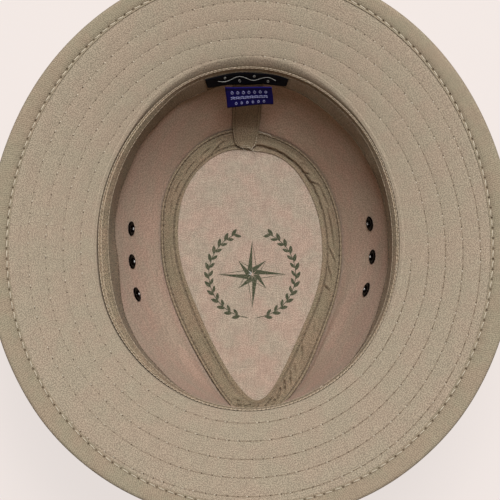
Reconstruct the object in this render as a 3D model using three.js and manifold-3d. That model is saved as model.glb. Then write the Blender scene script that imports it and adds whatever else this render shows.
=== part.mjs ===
// A safari hat of quilted cotton twill, lying on its crown with its opening up.
//
// Units are millimetres. +Y is the back of the hat and +Z is up, with the crown's teardrop ridge on Z = 0.
// The front of the crown is deeper than its back, so the opening and the brim tilt up towards the front.
// An angle goes round the hat: 0 is +X, 90 degrees is the back and 270 degrees is the front.

import * as THREE from "three";
import { mergeVertices } from "three/addons/utils/BufferGeometryUtils.js";
import Module from "manifold-3d";

const wasm = await Module();
wasm.setup();

const degrees = Math.PI / 180;

// Driving dimensions of the opening and the crown.
const opening = { width: 173, length: 196, centreY: 1, tilt: 0.0998, skew: 0.012, skewTurn: 214 * degrees };
const crown = { depth: 105, bulge: 1.4 };

// The teardrop ridge: its two ends, its half width halfway along, and the terms that narrow it to the front.
const ridge = { backY: 68.5, frontY: -110, halfWidth: 54.9, taper: 14.7, pinch: -6.3, twist: 2.5 * degrees };
const tipDish = 3;

// Driving dimensions of the brim over its binding.
const brim = { width: 295, length: 311, rise: 22, rounding: 0.12, flangeDepth: 9 };
const bindingWidth = 11;

// Thicknesses of the cloth pieces, and the gap that touching pieces keep.
const cloth = { wall: 1.6, brim: 2.4, flange: 1.8, band: 1.2, binding: 1, tape: 1, label: 0.7 };
const gap = 0.3;

// Vents: three a side, placed along Y, with the right-hand row a little further back than the left-hand one.
const ventDepth = 64;
const ventRows = [
  { name: "front", y: -32 },
  { name: "middle", y: -12 },
  { name: "back", y: 8 },
];
const ventSides = [
  { name: "left", angle: 180 * degrees, way: -1, shift: -1.5 },
  { name: "right", angle: 0, way: 1, shift: 1.5 },
];
const eyelet = { bore: 1.6, barrel: 2.5, flange: 4.2, thick: 0.7, edge: 0.3, wallHole: 2.9, sides: 10 };

// The steps round each ring of cloth.
const ringSteps = 64;

// Worked out from the dimensions above.
const flangeInset = cloth.wall + gap;
const bandInset = flangeInset + cloth.flange + gap;
const baseHalf = { x: opening.width / 2 + bandInset, y: opening.length / 2 + bandInset };
const brimHalf = { x: brim.width / 2 - cloth.binding - gap, y: brim.length / 2 - cloth.binding - gap };
const ridgeCentreY = (ridge.backY + ridge.frontY) / 2;
const ridgeHalfLength = (ridge.backY - ridge.frontY) / 2;
const tipTop = gap + cloth.wall;

const mix = (from, to, share) => from + (to - from) * share;
const clamp = (share) => Math.min(1, Math.max(0, share));
const unit = ([x, y]) => [x / Math.hypot(x, y), y / Math.hypot(x, y)];
const shares = (steps) => Array.from({ length: steps + 1 }, (_, step) => step / steps);
const loopAngles = Array.from({ length: ringSteps }, (_, step) => (step * 360 * degrees) / ringSteps);

// The height of the tilted plane of the opening at a place along Y.
const openingHeight = (y) => crown.depth - opening.tilt * (y - opening.centreY);

// The oval where the outside of the crown meets the brim, and its outward normal.
function basePlace(angle) {
  const full = 1 + opening.skew * Math.cos(3 * (angle - opening.skewTurn));
  return [full * baseHalf.x * Math.cos(angle), opening.centreY + full * baseHalf.y * Math.sin(angle)];
}

function baseNormal(angle) {
  return unit([Math.cos(angle) / baseHalf.x, Math.sin(angle) / baseHalf.y]);
}

const crownHeight = (angle) => openingHeight(basePlace(angle)[1]);

// Half the width of the teardrop, where along runs from -1 at its front to 1 at its back.
const teardropHalf = (along) => ridge.halfWidth + ridge.taper * along + ridge.pinch * along * along;

// A place in the teardrop's own directions, turned into the hat's.
function fromRidge(across, along) {
  const [cos, sin] = [Math.cos(ridge.twist), Math.sin(ridge.twist)];
  return [across * cos - along * sin, ridgeCentreY + across * sin + along * cos];
}

// A place over the teardrop: reach is 0 in its middle and 1 on its ridge.
function tipPlace(angle, reach) {
  const along = reach * Math.sin(angle);
  return fromRidge(reach * Math.cos(angle) * teardropHalf(along), along * ridgeHalfLength);
}

const ridgePlace = (angle) => tipPlace(angle, 1);

function ridgeNormal(angle) {
  const step = 0.001;
  const before = ridgePlace(angle - step);
  const after = ridgePlace(angle + step);
  return unit([after[1] - before[1], before[0] - after[0]]);
}

// How far the tip's cloth is dished into the crown: nothing on the ridge, and most in the middle.
function dish(x, y) {
  const [cos, sin] = [Math.cos(ridge.twist), Math.sin(ridge.twist)];
  const across = x * cos + (y - ridgeCentreY) * sin;
  const along = ((y - ridgeCentreY) * cos - x * sin) / ridgeHalfLength;
  return tipDish * clamp(1 - along * along - (across / teardropHalf(along)) ** 2);
}

// A point over the tip, this far in from the ridge and lifted over the dished cloth's own form.
function tipPoint(angle, inset, lift) {
  const [x, y] = ridgePlace(angle);
  const [outX, outY] = ridgeNormal(angle);
  const place = [x - outX * inset, y - outY * inset];
  return [...place, lift + dish(...place)];
}

// How far the crown has leaned over at a depth: 0 at the opening and 1 at the ridge.
const leanAt = (angle, depth) => clamp(depth / crownHeight(angle)) ** crown.bulge;

// A point of the crown: its depth below the opening's plane, and how far in it is from the cloth's outside.
function crownPoint(angle, depth, inset) {
  const lean = leanAt(angle, depth);
  const between = (from, to) => [mix(from[0], to[0], lean), mix(from[1], to[1], lean)];
  const [x, y] = between(basePlace(angle), ridgePlace(angle));
  const [outX, outY] = unit(between(baseNormal(angle), ridgeNormal(angle)));
  return [x - outX * inset, y - outY * inset, crownHeight(angle) - depth];
}

// A point of the brim: across is 0 at the crown and 1 at the quilted cloth's edge, and beyond lies past it.
function brimPoint(angle, across, lift, beyond = 0) {
  const [fromX, fromY] = basePlace(angle);
  const x = mix(fromX, (brimHalf.x + beyond) * Math.cos(angle), across);
  const y = mix(fromY, (brimHalf.y + beyond) * Math.sin(angle), across);
  const rise = brim.rise * across * (1 + brim.rounding - brim.rounding * across);
  return [x, y, openingHeight(y) + rise + lift];
}

// The sweatband's side towards the crown, from its sewn edge to its free one, and each row's part of the swell.
const bandRows = [
  { depth: 4, inset: bandInset, swell: 0 },
  { depth: 7, inset: 4.9, swell: 0.4 },
  { depth: 10.5, inset: 5.3, swell: 0.8 },
  { depth: 15, inset: 4.7, swell: 0.9 },
  { depth: 20, inset: 3.6, swell: 0.9 },
  { depth: 30, inset: 2.5, swell: 1 },
];

// The band stands further off the crown at the back and on the left than at the front.
const bandSwell = (angle) => 1 + 0.9 * Math.sin(angle) - 0.4 * Math.cos(angle);

const bandRowInset = (row, angle) => row.inset + row.swell * bandSwell(angle);

// How far in the sweatband's face towards the head is at any depth.
function bandFace(angle, depth) {
  const next = Math.max(1, bandRows.findIndex((row) => row.depth >= depth));
  const [above, below] = [bandRows[next - 1], bandRows[next]];
  const share = (depth - above.depth) / (below.depth - above.depth);
  return mix(bandRowInset(above, angle), bandRowInset(below, angle), share) + cloth.band;
}

// The tape over the tip's seam. Its underside runs from the wall, over the corner, to its edge on the tip.
const tapeUnder = { edge: { height: 8.5, inset: flangeInset }, fold: { height: 3.4, inset: 4.6 } };
const tapeOver = { edge: { height: 8.8, inset: flangeInset + cloth.tape }, fold: { height: 4.5, inset: 5.4 } };
const tapeReach = { round: 10.6, moreAtBack: 1.3 };

// A point over the crown's lower edge, this high over the ridge and this far in from the wall's outside.
const cornerPoint = (angle, { height, inset }) => crownPoint(angle, crownHeight(angle) - height, inset);

// A mesh's corner points and triangles as a geometry with its faces pointing out.
function solidGeometry(points, triangles) {
  let volume = 0;
  for (const [a, b, c] of triangles) {
    const [p, q, r] = [points[a], points[b], points[c]].map((point) => new THREE.Vector3(...point));
    volume += p.dot(q.cross(r));
  }
  const facing = volume < 0 ? triangles.map(([a, b, c]) => [a, c, b]) : triangles;
  const geometry = new THREE.BufferGeometry();
  geometry.setAttribute("position", new THREE.BufferAttribute(new Float32Array(points.flat()), 3));
  geometry.setIndex(facing.flat());
  return geometry;
}

// Joins two corners of one row of points to the same two of the next.
const quad = (a, b, c, d) => [
  [a, b, c],
  [a, c, d],
];

// A closed ring of cloth: section gives the loop of points round its edge at each angle.
function ringSolid(section) {
  const sections = loopAngles.map(section);
  const count = sections[0].length;
  const triangles = [];
  for (let step = 0; step < ringSteps; step++) {
    const here = step * count;
    const there = ((step + 1) % ringSteps) * count;
    for (let row = 0; row < count; row++) {
      const next = (row + 1) % count;
      triangles.push(...quad(here + row, there + row, there + next, here + next));
    }
  }
  return solidGeometry(sections.flat(), triangles);
}

// A sheet of cloth: two faces of rows of points, closed round their edges.
function sheetSolid(under, over) {
  const [rows, columns] = [under.length, under[0].length];
  const at = (face, row, column) => (face * rows + row) * columns + column;
  const triangles = [];
  for (let row = 0; row + 1 < rows; row++)
    for (let column = 0; column + 1 < columns; column++) {
      const corners = (face) => [
        at(face, row, column),
        at(face, row, column + 1),
        at(face, row + 1, column + 1),
        at(face, row + 1, column),
      ];
      triangles.push(...quad(...corners(0)), ...quad(...corners(1).reverse()));
    }
  const rim = [
    ...Array.from({ length: columns - 1 }, (_, column) => [0, column]),
    ...Array.from({ length: rows - 1 }, (_, row) => [row, columns - 1]),
    ...Array.from({ length: columns - 1 }, (_, column) => [rows - 1, columns - 1 - column]),
    ...Array.from({ length: rows - 1 }, (_, row) => [rows - 1 - row, 0]),
  ];
  rim.forEach((here, place) => {
    const there = rim[(place + 1) % rim.length];
    triangles.push(...quad(at(0, ...there), at(0, ...here), at(1, ...here), at(1, ...there)));
  });
  return solidGeometry([...under, ...over].flat(), triangles);
}

// A geometry as a solid that can be cut, and back.
function toManifold(geometry) {
  const bare = geometry.clone();
  bare.deleteAttribute("normal");
  bare.deleteAttribute("uv");
  const merged = mergeVertices(bare, 1e-4);
  const vertProperties = merged.attributes.position.array;
  const triVerts = new Uint32Array(merged.index.array);
  return new wasm.Manifold(new wasm.Mesh({ numProp: 3, vertProperties, triVerts }));
}

function fromManifold(solid) {
  const { vertProperties, triVerts } = solid.getMesh();
  const geometry = new THREE.BufferGeometry();
  geometry.setAttribute("position", new THREE.BufferAttribute(new Float32Array(vertProperties), 3));
  geometry.setIndex(Array.from(triVerts));
  return geometry;
}

// The quilted brim, whose inner edge rolls down into the crown as a flange.
function brimGeometry() {
  const half = cloth.brim / 2;
  const across = [1, 0.8, 0.6, 0.4, 0.2, 0.02];
  const flangeFace = flangeInset + cloth.flange;
  const roll = [
    { depth: -half + 0.2, inset: 1.2 },
    { depth: 0.4, inset: 2.9 },
    { depth: 3, inset: flangeFace },
    { depth: brim.flangeDepth, inset: flangeFace },
    { depth: brim.flangeDepth, inset: flangeInset },
    { depth: half, inset: flangeInset },
  ];
  return ringSolid((angle) => [
    ...across.map((share) => brimPoint(angle, share, half)),
    ...roll.map((row) => crownPoint(angle, row.depth, row.inset)),
    ...[...across].reverse().map((share) => brimPoint(angle, share, -half)),
  ]);
}

// The binding folded round the brim's edge, with its fold's corners taken off.
function bindingGeometry() {
  const start = 1 - (bindingWidth - cloth.binding - gap) / (brimHalf.x - baseHalf.x);
  const inner = cloth.brim / 2 + gap;
  const outer = inner + cloth.binding;
  const past = gap + cloth.binding;
  const fold = inner - 0.5;
  return ringSolid((angle) => [
    brimPoint(angle, start, outer),
    brimPoint(angle, 1, outer),
    brimPoint(angle, 1, fold, past),
    brimPoint(angle, 1, -fold, past),
    brimPoint(angle, 1, -outer),
    brimPoint(angle, start, -outer),
    brimPoint(angle, start, -inner),
    brimPoint(angle, 1, -inner),
    brimPoint(angle, 1, -fold, gap),
    brimPoint(angle, 1, fold, gap),
    brimPoint(angle, 1, inner),
    brimPoint(angle, start, inner),
  ]);
}

// The side of the crown, from just under the brim to the ridge that it rests on.
function wallGeometry() {
  const top = cloth.brim / 2 + 2 * gap;
  const rows = [0.12, 0.25, 0.4, 0.55, 0.7, 0.85, 1];
  return ringSolid((angle) => {
    const depths = [top, ...rows.map((share) => share * crownHeight(angle))];
    return [
      ...depths.map((depth) => crownPoint(angle, depth, 0)),
      ...depths.reverse().map((depth) => crownPoint(angle, depth, cloth.wall)),
    ];
  });
}

// The teardrop panel, a little dished into the crown, with its edge inside the wall's.
function tipGeometry() {
  const over = (lift) => (place) => [...place, lift + dish(...place)];
  const face = (lift) => [
    loopAngles.map((angle) => tipPoint(angle, cloth.wall + gap, lift)),
    ...[0.8, 0.6, 0.4, 0.2].map((reach) => loopAngles.map((angle) => over(lift)(tipPlace(angle, reach)))),
  ];
  const rings = [...face(gap).reverse(), ...face(tipTop)];
  const points = rings.flat();
  const triangles = [];
  for (let ring = 0; ring + 1 < rings.length; ring++)
    for (let step = 0; step < ringSteps; step++) {
      const next = (step + 1) % ringSteps;
      const [here, there] = [ring * ringSteps, (ring + 1) * ringSteps];
      triangles.push(...quad(here + step, here + next, there + next, there + step));
    }
  const lastRing = (rings.length - 1) * ringSteps;
  const bottom = points.push(over(gap)(tipPlace(0, 0))) - 1;
  const top = points.push(over(tipTop)(tipPlace(0, 0))) - 1;
  for (let step = 0; step < ringSteps; step++) {
    const next = (step + 1) % ringSteps;
    triangles.push([bottom, next, step], [top, lastRing + step, lastRing + next]);
  }
  return solidGeometry(points, triangles);
}

// The sweatband, sewn at its upper edge and free at its lower one.
function bandGeometry() {
  const point = (angle, row, inward) => crownPoint(angle, row.depth, bandRowInset(row, angle) + inward);
  return ringSolid((angle) => [
    ...bandRows.map((row) => point(angle, row, 0)),
    ...[...bandRows].reverse().map((row) => point(angle, row, cloth.band)),
  ]);
}

// The tape that bridges the corner between the wall and the tip.
function tipTapeGeometry() {
  return ringSolid((angle) => {
    const reach = tapeReach.round + tapeReach.moreAtBack * Math.max(0, Math.sin(angle)) ** 2;
    return [
      cornerPoint(angle, tapeUnder.edge),
      cornerPoint(angle, tapeUnder.fold),
      tipPoint(angle, reach, tipTop + gap),
      tipPoint(angle, reach, tipTop + gap + cloth.tape),
      cornerPoint(angle, tapeOver.fold),
      cornerPoint(angle, tapeOver.edge),
    ];
  });
}

// The tape down the back seam. Its lower end narrows to a tongue that laps over the tip's tape.
function backTapeGeometry() {
  const middle = 91.5 * degrees;
  const halfWidth = 8.2;
  const height = crownHeight(middle);
  const lap = tapeOver.fold.height + 0.5;
  const rows = [
    ...[28, 42, 56, 70].map((depth) => ({ height: height - depth, inset: flangeInset, width: 1, rise: 0 })),
    { height: tapeOver.edge.height + 1.6, inset: tapeOver.edge.inset + gap, width: 1, rise: 0.6 },
    { height: lap, inset: tapeOver.fold.inset + gap, width: 0.92, rise: 0.6 },
    { height: lap, inset: 9.2, width: 0.86, rise: 0.6 },
    { height: lap, inset: 11.2, width: 0.5, rise: 0.6 },
  ];
  const face = (thick) =>
    rows.map((row) =>
      [-1, -0.5, 0, 0.5, 1].map((side) => {
        const halfGirth = mix(baseHalf.x, teardropHalf(1), leanAt(middle, height - row.height));
        const angle = middle - (side * row.width * halfWidth) / halfGirth;
        return cornerPoint(angle, { height: row.height + thick * row.rise, inset: row.inset + thick });
      }),
    );
  return sheetSolid(face(0), face(cloth.tape));
}

// The bare label on the sweatband's face at the back. Its lower edge stands off the band in the middle.
function wovenLabelGeometry() {
  const middle = 91.2 * degrees;
  const halfAngle = 16.7 * degrees;
  const edges = { top: 5, bottom: 19.5, standOff: 2.6 };
  const face = (thick) =>
    shares(3).map((down) =>
      shares(8).map((share) => {
        const side = 2 * share - 1;
        const angle = middle - side * halfAngle;
        const depth = mix(edges.top, edges.bottom, down);
        const off = gap + edges.standOff * down * down * (1 - side * side);
        return crownPoint(angle, depth, bandFace(angle, depth) + off + thick);
      }),
    );
  return sheetSolid(face(0), face(cloth.label));
}

// The smaller label that hangs from the lower edge of the first, swung a little to one side.
function careLabelGeometry() {
  const half = 13.8;
  const rows = [
    { y: 88.8, z: 74.6, middle: -0.9, swing: 0 },
    { y: 84.9, z: 67.2, middle: -0.3, swing: 0.5 },
    { y: 79.8, z: 58.6, middle: 0.2, swing: 1.1 },
  ];
  const lean = { y: -0.88 * cloth.label, z: 0.47 * cloth.label };
  const face = (thick) =>
    rows.map(({ y, z, middle, swing }) =>
      [-1, 1].map((side) => [middle + side * half, y + side * swing + thick * lean.y, z + thick * lean.z]),
    );
  return sheetSolid(face(-1), face(0));
}

// The angle on one side of the crown whose middle of the cloth lies at a place along Y.
function angleAtY(side, y) {
  let [low, high] = [-60 * degrees, 60 * degrees];
  const turned = (turn) => side.angle + side.way * turn;
  for (let step = 0; step < 40; step++) {
    const middle = (low + high) / 2;
    if (crownPoint(turned(middle), ventDepth, cloth.wall / 2)[1] < y) low = middle;
    else high = middle;
  }
  return turned((low + high) / 2);
}

// Where a vent sits in the wall's cloth, turned so that its own +Y points out through the cloth.
function ventPlacing(side, y) {
  const angle = angleAtY(side, y);
  const step = 0.5 * degrees;
  const at = (turn, down) => new THREE.Vector3(...crownPoint(angle + turn, ventDepth + down, cloth.wall / 2));
  const round = at(step, 0).sub(at(-step, 0));
  const down = at(0, 0.5).sub(at(0, -0.5));
  const out = down.cross(round).normalize();
  const turn = new THREE.Quaternion().setFromUnitVectors(new THREE.Vector3(0, 1, 0), out);
  return { position: at(0, 0), quaternion: turn };
}

// The eyelet: a barrel through the cloth with a rolled flange on each side.
function eyeletGeometry() {
  const seat = cloth.wall / 2 + gap;
  const end = seat + eyelet.thick;
  const side = [
    [eyelet.bore, end],
    [eyelet.flange - eyelet.edge, end],
    [eyelet.flange, end - eyelet.edge],
    [eyelet.flange - eyelet.edge, seat],
    [eyelet.barrel, seat],
  ];
  const other = side.map(([radius, height]) => [radius, -height]).reverse();
  const loop = [...side, ...other, side[0]].map(([radius, height]) => new THREE.Vector2(radius, height));
  return new THREE.LatheGeometry(loop.reverse(), eyelet.sides);
}

const twill = new THREE.MeshStandardMaterial({ color: 0xa59881, roughness: 0.95 });
const backedTwill = new THREE.MeshStandardMaterial({ color: 0xb59f8d, roughness: 0.95 });
const tapeTwill = new THREE.MeshStandardMaterial({ color: 0x8f8268, roughness: 0.95 });
const bandTwill = new THREE.MeshStandardMaterial({ color: 0x8a7a60, roughness: 0.95 });
const blackWoven = new THREE.MeshStandardMaterial({ color: 0x14161f, roughness: 0.7 });
const navySatin = new THREE.MeshStandardMaterial({ color: 0x1d1b52, roughness: 0.5 });
const blackEnamel = new THREE.MeshStandardMaterial({ color: 0x0d0b0c, roughness: 0.25, metalness: 0.6 });

const hat = new THREE.Group();

function addPiece(name, geometry, material) {
  const piece = new THREE.Mesh(geometry, material);
  piece.name = name;
  hat.add(piece);
  return piece;
}

// The vents first, because the wall is drilled where they sit.
let wall = toManifold(wallGeometry());
for (const side of ventSides)
  for (const row of ventRows) {
    const { position, quaternion } = ventPlacing(side, row.y + side.shift);
    const vent = addPiece(`eyelet_${side.name}_${row.name}`, eyeletGeometry(), blackEnamel);
    vent.position.copy(position);
    vent.quaternion.copy(quaternion);
    vent.updateMatrix();
    const drill = new THREE.CylinderGeometry(eyelet.wallHole, eyelet.wallHole, 4 * cloth.wall, eyelet.sides);
    wall = wall.subtract(toManifold(drill.applyMatrix4(vent.matrix)));
  }

addPiece("brim", brimGeometry(), twill);
addPiece("edge_binding", bindingGeometry(), twill);
addPiece("crown_wall", fromManifold(wall), backedTwill);
addPiece("crown_tip", tipGeometry(), backedTwill);
addPiece("sweatband", bandGeometry(), bandTwill);
addPiece("tip_seam_tape", tipTapeGeometry(), tapeTwill);
addPiece("back_seam_tape", backTapeGeometry(), tapeTwill);
addPiece("woven_label", wovenLabelGeometry(), blackWoven);
addPiece("care_label", careLabelGeometry(), navySatin);

export default hat;
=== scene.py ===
# %% [markdown]
# # A safari hat, lying on its crown
#
# This lesson dresses a plain solid model of a cotton hat so that it looks like cloth. The hat lies
# upside down, and the camera looks straight down into it. Each section first says what a piece is on
# the real hat and how it could be made, and then makes it.
#
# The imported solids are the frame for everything: each piece of cloth takes the place of one of them.

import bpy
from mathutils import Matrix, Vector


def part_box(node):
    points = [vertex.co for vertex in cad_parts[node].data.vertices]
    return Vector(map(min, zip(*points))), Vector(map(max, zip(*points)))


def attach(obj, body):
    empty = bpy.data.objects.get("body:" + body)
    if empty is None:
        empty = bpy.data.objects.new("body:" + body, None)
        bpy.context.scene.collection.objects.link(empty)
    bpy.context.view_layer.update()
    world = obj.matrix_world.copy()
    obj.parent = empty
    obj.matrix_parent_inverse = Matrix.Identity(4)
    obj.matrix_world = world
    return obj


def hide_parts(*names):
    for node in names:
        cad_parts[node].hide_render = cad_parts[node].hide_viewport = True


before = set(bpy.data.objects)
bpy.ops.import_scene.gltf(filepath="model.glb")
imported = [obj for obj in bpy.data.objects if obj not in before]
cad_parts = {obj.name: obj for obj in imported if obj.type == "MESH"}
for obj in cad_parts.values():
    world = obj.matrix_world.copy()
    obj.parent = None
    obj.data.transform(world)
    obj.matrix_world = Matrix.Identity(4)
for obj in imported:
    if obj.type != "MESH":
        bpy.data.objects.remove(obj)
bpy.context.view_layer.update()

# %% [markdown]
# ## The camera and the light
#
# The photograph was taken from straight above, about a metre up, so the camera looks down -Z with the
# back of the hat at the top of the picture. A long lens keeps the crown's far end in proportion.

# %% Place the camera
import math

import bmesh
import bpy
import numpy as np
from mathutils import Vector

view_data = bpy.data.cameras.new("camera")
view_data.sensor_width = 36
view_data.lens = 126.3
camera = bpy.data.objects.new("camera", view_data)
camera.location = (0, -0.0064, 1.105)
bpy.context.scene.collection.objects.link(camera)
bpy.context.scene.camera = camera
print("camera", camera.location[:], "lens", view_data.lens)

# %% [markdown]
# In the photograph the front wall of the crown and the left wall are lit, and the back wall is nearly
# dark and brown. So the main light stands high behind the hat, a little to the right, and a weak one
# farther back reaches only the front wall and the brim. The sky of the scene is dim and warm, so the
# deep parts keep their warm brown.

# %% Light the scene softly


def soft_light(name, place, size, power, tint):
    """A square light of this size in metres that faces the middle of the hat."""
    data = bpy.data.lights.new(name, "AREA")
    data.size = size
    data.energy = power
    data.color = tint
    lamp = bpy.data.objects.new(name, data)
    lamp.location = place
    lamp.rotation_euler = (Vector((0, 0, 0.06)) - Vector(place)).to_track_quat("-Z", "Y").to_euler()
    bpy.context.scene.collection.objects.link(lamp)
    return lamp


soft_light("main_light", (0.13, 0.56, 1.62), 0.6, 29.1, (0.97, 0.99, 1.0))
soft_light("back_light", (-0.02, 1.24, 1.15), 0.7, 4.2, (0.97, 0.99, 1.0))

sky = bpy.data.worlds.new("studio")
sky.use_nodes = True
sky_background = sky.node_tree.nodes["Background"]
sky_background.inputs["Color"].default_value = (1.0, 0.64, 0.40, 1)
sky_background.inputs["Strength"].default_value = 0.06
bpy.context.scene.world = sky
bpy.context.scene.view_settings.view_transform = "Standard"

# %% [markdown]
# ## Finishes
#
# Every finish is a graph of nodes. Writing each node and each link on lines of its own makes long
# scripts, so one helper adds a node, sets its values, and links any input that is given as a socket.

# %% A helper for node graphs


def add(tree, kind, inputs=None, **settings):
    """Adds a node. An input given as a socket is linked, and any other is set as a value."""
    node = tree.nodes.new(kind)
    for key, value in settings.items():
        setattr(node, key, value)
    for key, value in (inputs or {}).items():
        socket = node.inputs[key]
        if isinstance(value, bpy.types.NodeSocket):
            tree.links.new(value, socket)
        else:
            socket.default_value = value
    return node


def calc(tree, operation, first, second=0.0, third=0.0):
    """The result of one step of arithmetic."""
    return add(tree, "ShaderNodeMath", {0: first, 1: second, 2: third}, operation=operation).outputs[0]


def ramp(tree, value, start, end, low=0.0, high=1.0):
    """A smooth step of value from low at start to high at end."""
    inputs = {"Value": value, "From Min": start, "From Max": end, "To Min": low, "To Max": high}
    return add(tree, "ShaderNodeMapRange", inputs, interpolation_type="SMOOTHSTEP").outputs["Result"]


def blended(tree, factor, first, second, mode="MIX"):
    """Two colours mixed by a factor."""
    node = add(tree, "ShaderNodeMix", data_type="RGBA", blend_type=mode)
    for key, value in ((0, factor), (6, first), (7, second)):
        if isinstance(value, bpy.types.NodeSocket):
            tree.links.new(value, node.inputs[key])
        else:
            node.inputs[key].default_value = value if key == 0 else (*value, 1)
    return node.outputs[2]


print("nodes can be added, linked and calculated with")

# %% Noise, and how each graph starts and ends


def noise(tree, coords, scale, detail=2.0, rough=0.5):
    """Soft random blotches, this many to the metre."""
    inputs = {"Vector": coords, "Scale": scale, "Detail": detail, "Roughness": rough}
    return add(tree, "ShaderNodeTexNoise", inputs).outputs["Fac"]


def new_finish(name):
    """An empty material with its output, ready for its graph."""
    finish = bpy.data.materials.new(name)
    finish.use_nodes = True
    finish.node_tree.nodes.clear()
    return finish, finish.node_tree


def finish_with(tree, colour, bump, rough=0.92, sheen=0.03, gloss=0.15):
    """Ends a graph: the surface takes this colour and this bump."""
    surface = add(tree, "ShaderNodeBsdfPrincipled", {"Base Color": colour, "Roughness": rough})
    surface.inputs["Specular IOR Level"].default_value = gloss
    surface.inputs["Sheen Weight"].default_value = sheen
    surface.inputs["Sheen Roughness"].default_value = 0.6
    tree.links.new(bump, surface.inputs["Normal"])
    add(tree, "ShaderNodeOutputMaterial", {"Surface": surface.outputs["BSDF"]})


print("graphs can be started and ended")

# %% [markdown]
# ### Cotton twill
#
# Twill has fine ribs that run across the cloth at a slant. At arm's length they blur into a soft grain,
# with thicker and thinner yarns here and there, and the dye takes unevenly, so the cloth clouds from a
# pinkish to a greenish khaki. Ribs come from a wave texture, yarns from noise that is stretched along
# the warp or the weft, and the clouds from large soft noise. All of it reads a map that is laid on the
# cloth in metres, so the grain has one size on every piece and follows the cloth round its curves.
#
# A picture of cloth would look as real, but it would show its repeats, and it can't be turned from a
# brim's twill into a lining's. Here a variant only turns the ribs or changes how strong the grain is.

# %% Twill, and what its variants change


def twill_graph(tree, shade, slant=38.0, grain=1.0, clouds=1.0, rib=0.00075, ribbed=0.3, drawn=1.0,
                slub=1.0):
    """The colour and the height of twill. Its map is called cloth.

    Slant turns the ribs, rib is their width in metres, grain and clouds are how much the shade varies
    from speck to speck and from place to place, slub is how much the yarns stand out, and drawn below 1
    makes long specks.
    """
    coords = add(tree, "ShaderNodeUVMap", uv_map="cloth").outputs["UV"]
    long_coords = add(tree, "ShaderNodeMapping", {"Vector": coords, "Scale": (1.0, drawn, 1.0)}).outputs[0]
    turned = add(tree, "ShaderNodeMapping", {"Vector": coords, "Rotation": (0, 0, math.radians(slant))})
    waves = {"Vector": turned.outputs[0], "Scale": 0.31416 / rib, "Distortion": 1.2, "Detail": 1.0,
             "Detail Scale": 1.6}
    ribs = add(tree, "ShaderNodeTexWave", waves, wave_type="BANDS").outputs["Fac"]
    warp = add(tree, "ShaderNodeMapping", {"Vector": coords, "Scale": (1.0, 0.10, 1.0)}).outputs[0]
    weft = add(tree, "ShaderNodeMapping", {"Vector": coords, "Scale": (0.10, 1.0, 1.0)}).outputs[0]
    warp_yarn = noise(tree, warp, 1250, 1.5)
    weft_yarn = noise(tree, weft, 1450, 1.5)
    speck = ramp(tree, noise(tree, long_coords, 1650, 1.0), 0.34, 0.66)
    cloud = noise(tree, coords, 48, 3.0, 0.6)
    patch = noise(tree, coords, 150, 2.0)
    height = calc(tree, "ADD", calc(tree, "MULTIPLY", ribs, ribbed), calc(tree, "MULTIPLY", speck, 0.75))
    height = calc(tree, "ADD", height, calc(tree, "MULTIPLY", warp_yarn, 0.45 * slub))
    height = calc(tree, "ADD", height, calc(tree, "MULTIPLY", weft_yarn, 0.35 * slub))
    dark = tuple(c * (1 - 0.34 * grain) for c in shade)
    light = tuple(min(1, c * (1 + 0.30 * grain)) for c in shade)
    middle = 0.5 * (ribbed + 0.75 + 0.8 * slub)
    colour = blended(tree, ramp(tree, height, middle - 0.36, middle + 0.36), dark, light)
    rosy = tuple(c * f for c, f in zip(shade, (1.09, 0.97, 0.95)))
    mossy = tuple(c * f for c, f in zip(shade, (0.92, 1.02, 0.97)))
    tint = blended(tree, ramp(tree, cloud, 0.36, 0.64), mossy, rosy)
    colour = blended(tree, 0.42 * clouds, colour, tint)
    colour = blended(tree, ramp(tree, patch, 0.3, 0.7, 0.0, 0.12 * clouds), colour, dark)
    return colour, height


print("the twill graph has ribs, yarns, specks and clouds")

# %% The twills of the hat


def bumped(tree, height, reach=0.00015, strength=0.6):
    """The normal of a surface that stands out by this much where its height is greatest."""
    inputs = {"Height": height, "Distance": reach, "Strength": strength}
    return add(tree, "ShaderNodeBump", inputs).outputs["Normal"]


def twill_finish(name, shade, **variant):
    """Plain twill in one shade."""
    finish, tree = new_finish(name)
    colour, height = twill_graph(tree, shade, **variant)
    finish_with(tree, colour, bumped(tree, height))
    return finish


khaki = (0.362, 0.290, 0.214)
outer_twill = twill_finish("outer_twill", khaki, grain=1.3)
rosy_lining = (0.470, 0.341, 0.264)
lining_twill = twill_finish("lining_twill", rosy_lining, slant=90.0, grain=1.15, drawn=0.3)
tip_twill = twill_finish("tip_twill", (0.428, 0.331, 0.262), slant=90.0, grain=1.75, clouds=1.3, slub=1.7)
band_twill = twill_finish("band_twill", (0.310, 0.233, 0.158), slant=62.0, grain=2.6, rib=0.0011,
                          ribbed=0.4, slub=1.5)
print("twill finishes:", *(finish.name for finish in (outer_twill, lining_twill, tip_twill, band_twill)))

# %% [markdown]
# ### Quilted twill
#
# The brim's twill is sewn through in long rows. A row presses a narrow groove into the cloth and each
# stitch ends in a needle hole. The mesh carries the puffs between the rows, and a second map, called
# rows, carries the fine part: across it counts stitches, and up it counts rows, so a whole number up
# is a seam and a whole number across is a hole. Cut lines that thin into the mesh and it would need
# millions of faces.
#
# The binding and the tapes are sewn too, so they take the same finish, each with a rows map of its own.
# The finish paints shade into the needle holes, and into the grooves, darkest towards the front right.

# %% Twill with sewn rows
front_right = (0.7, -0.7, 0)


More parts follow.
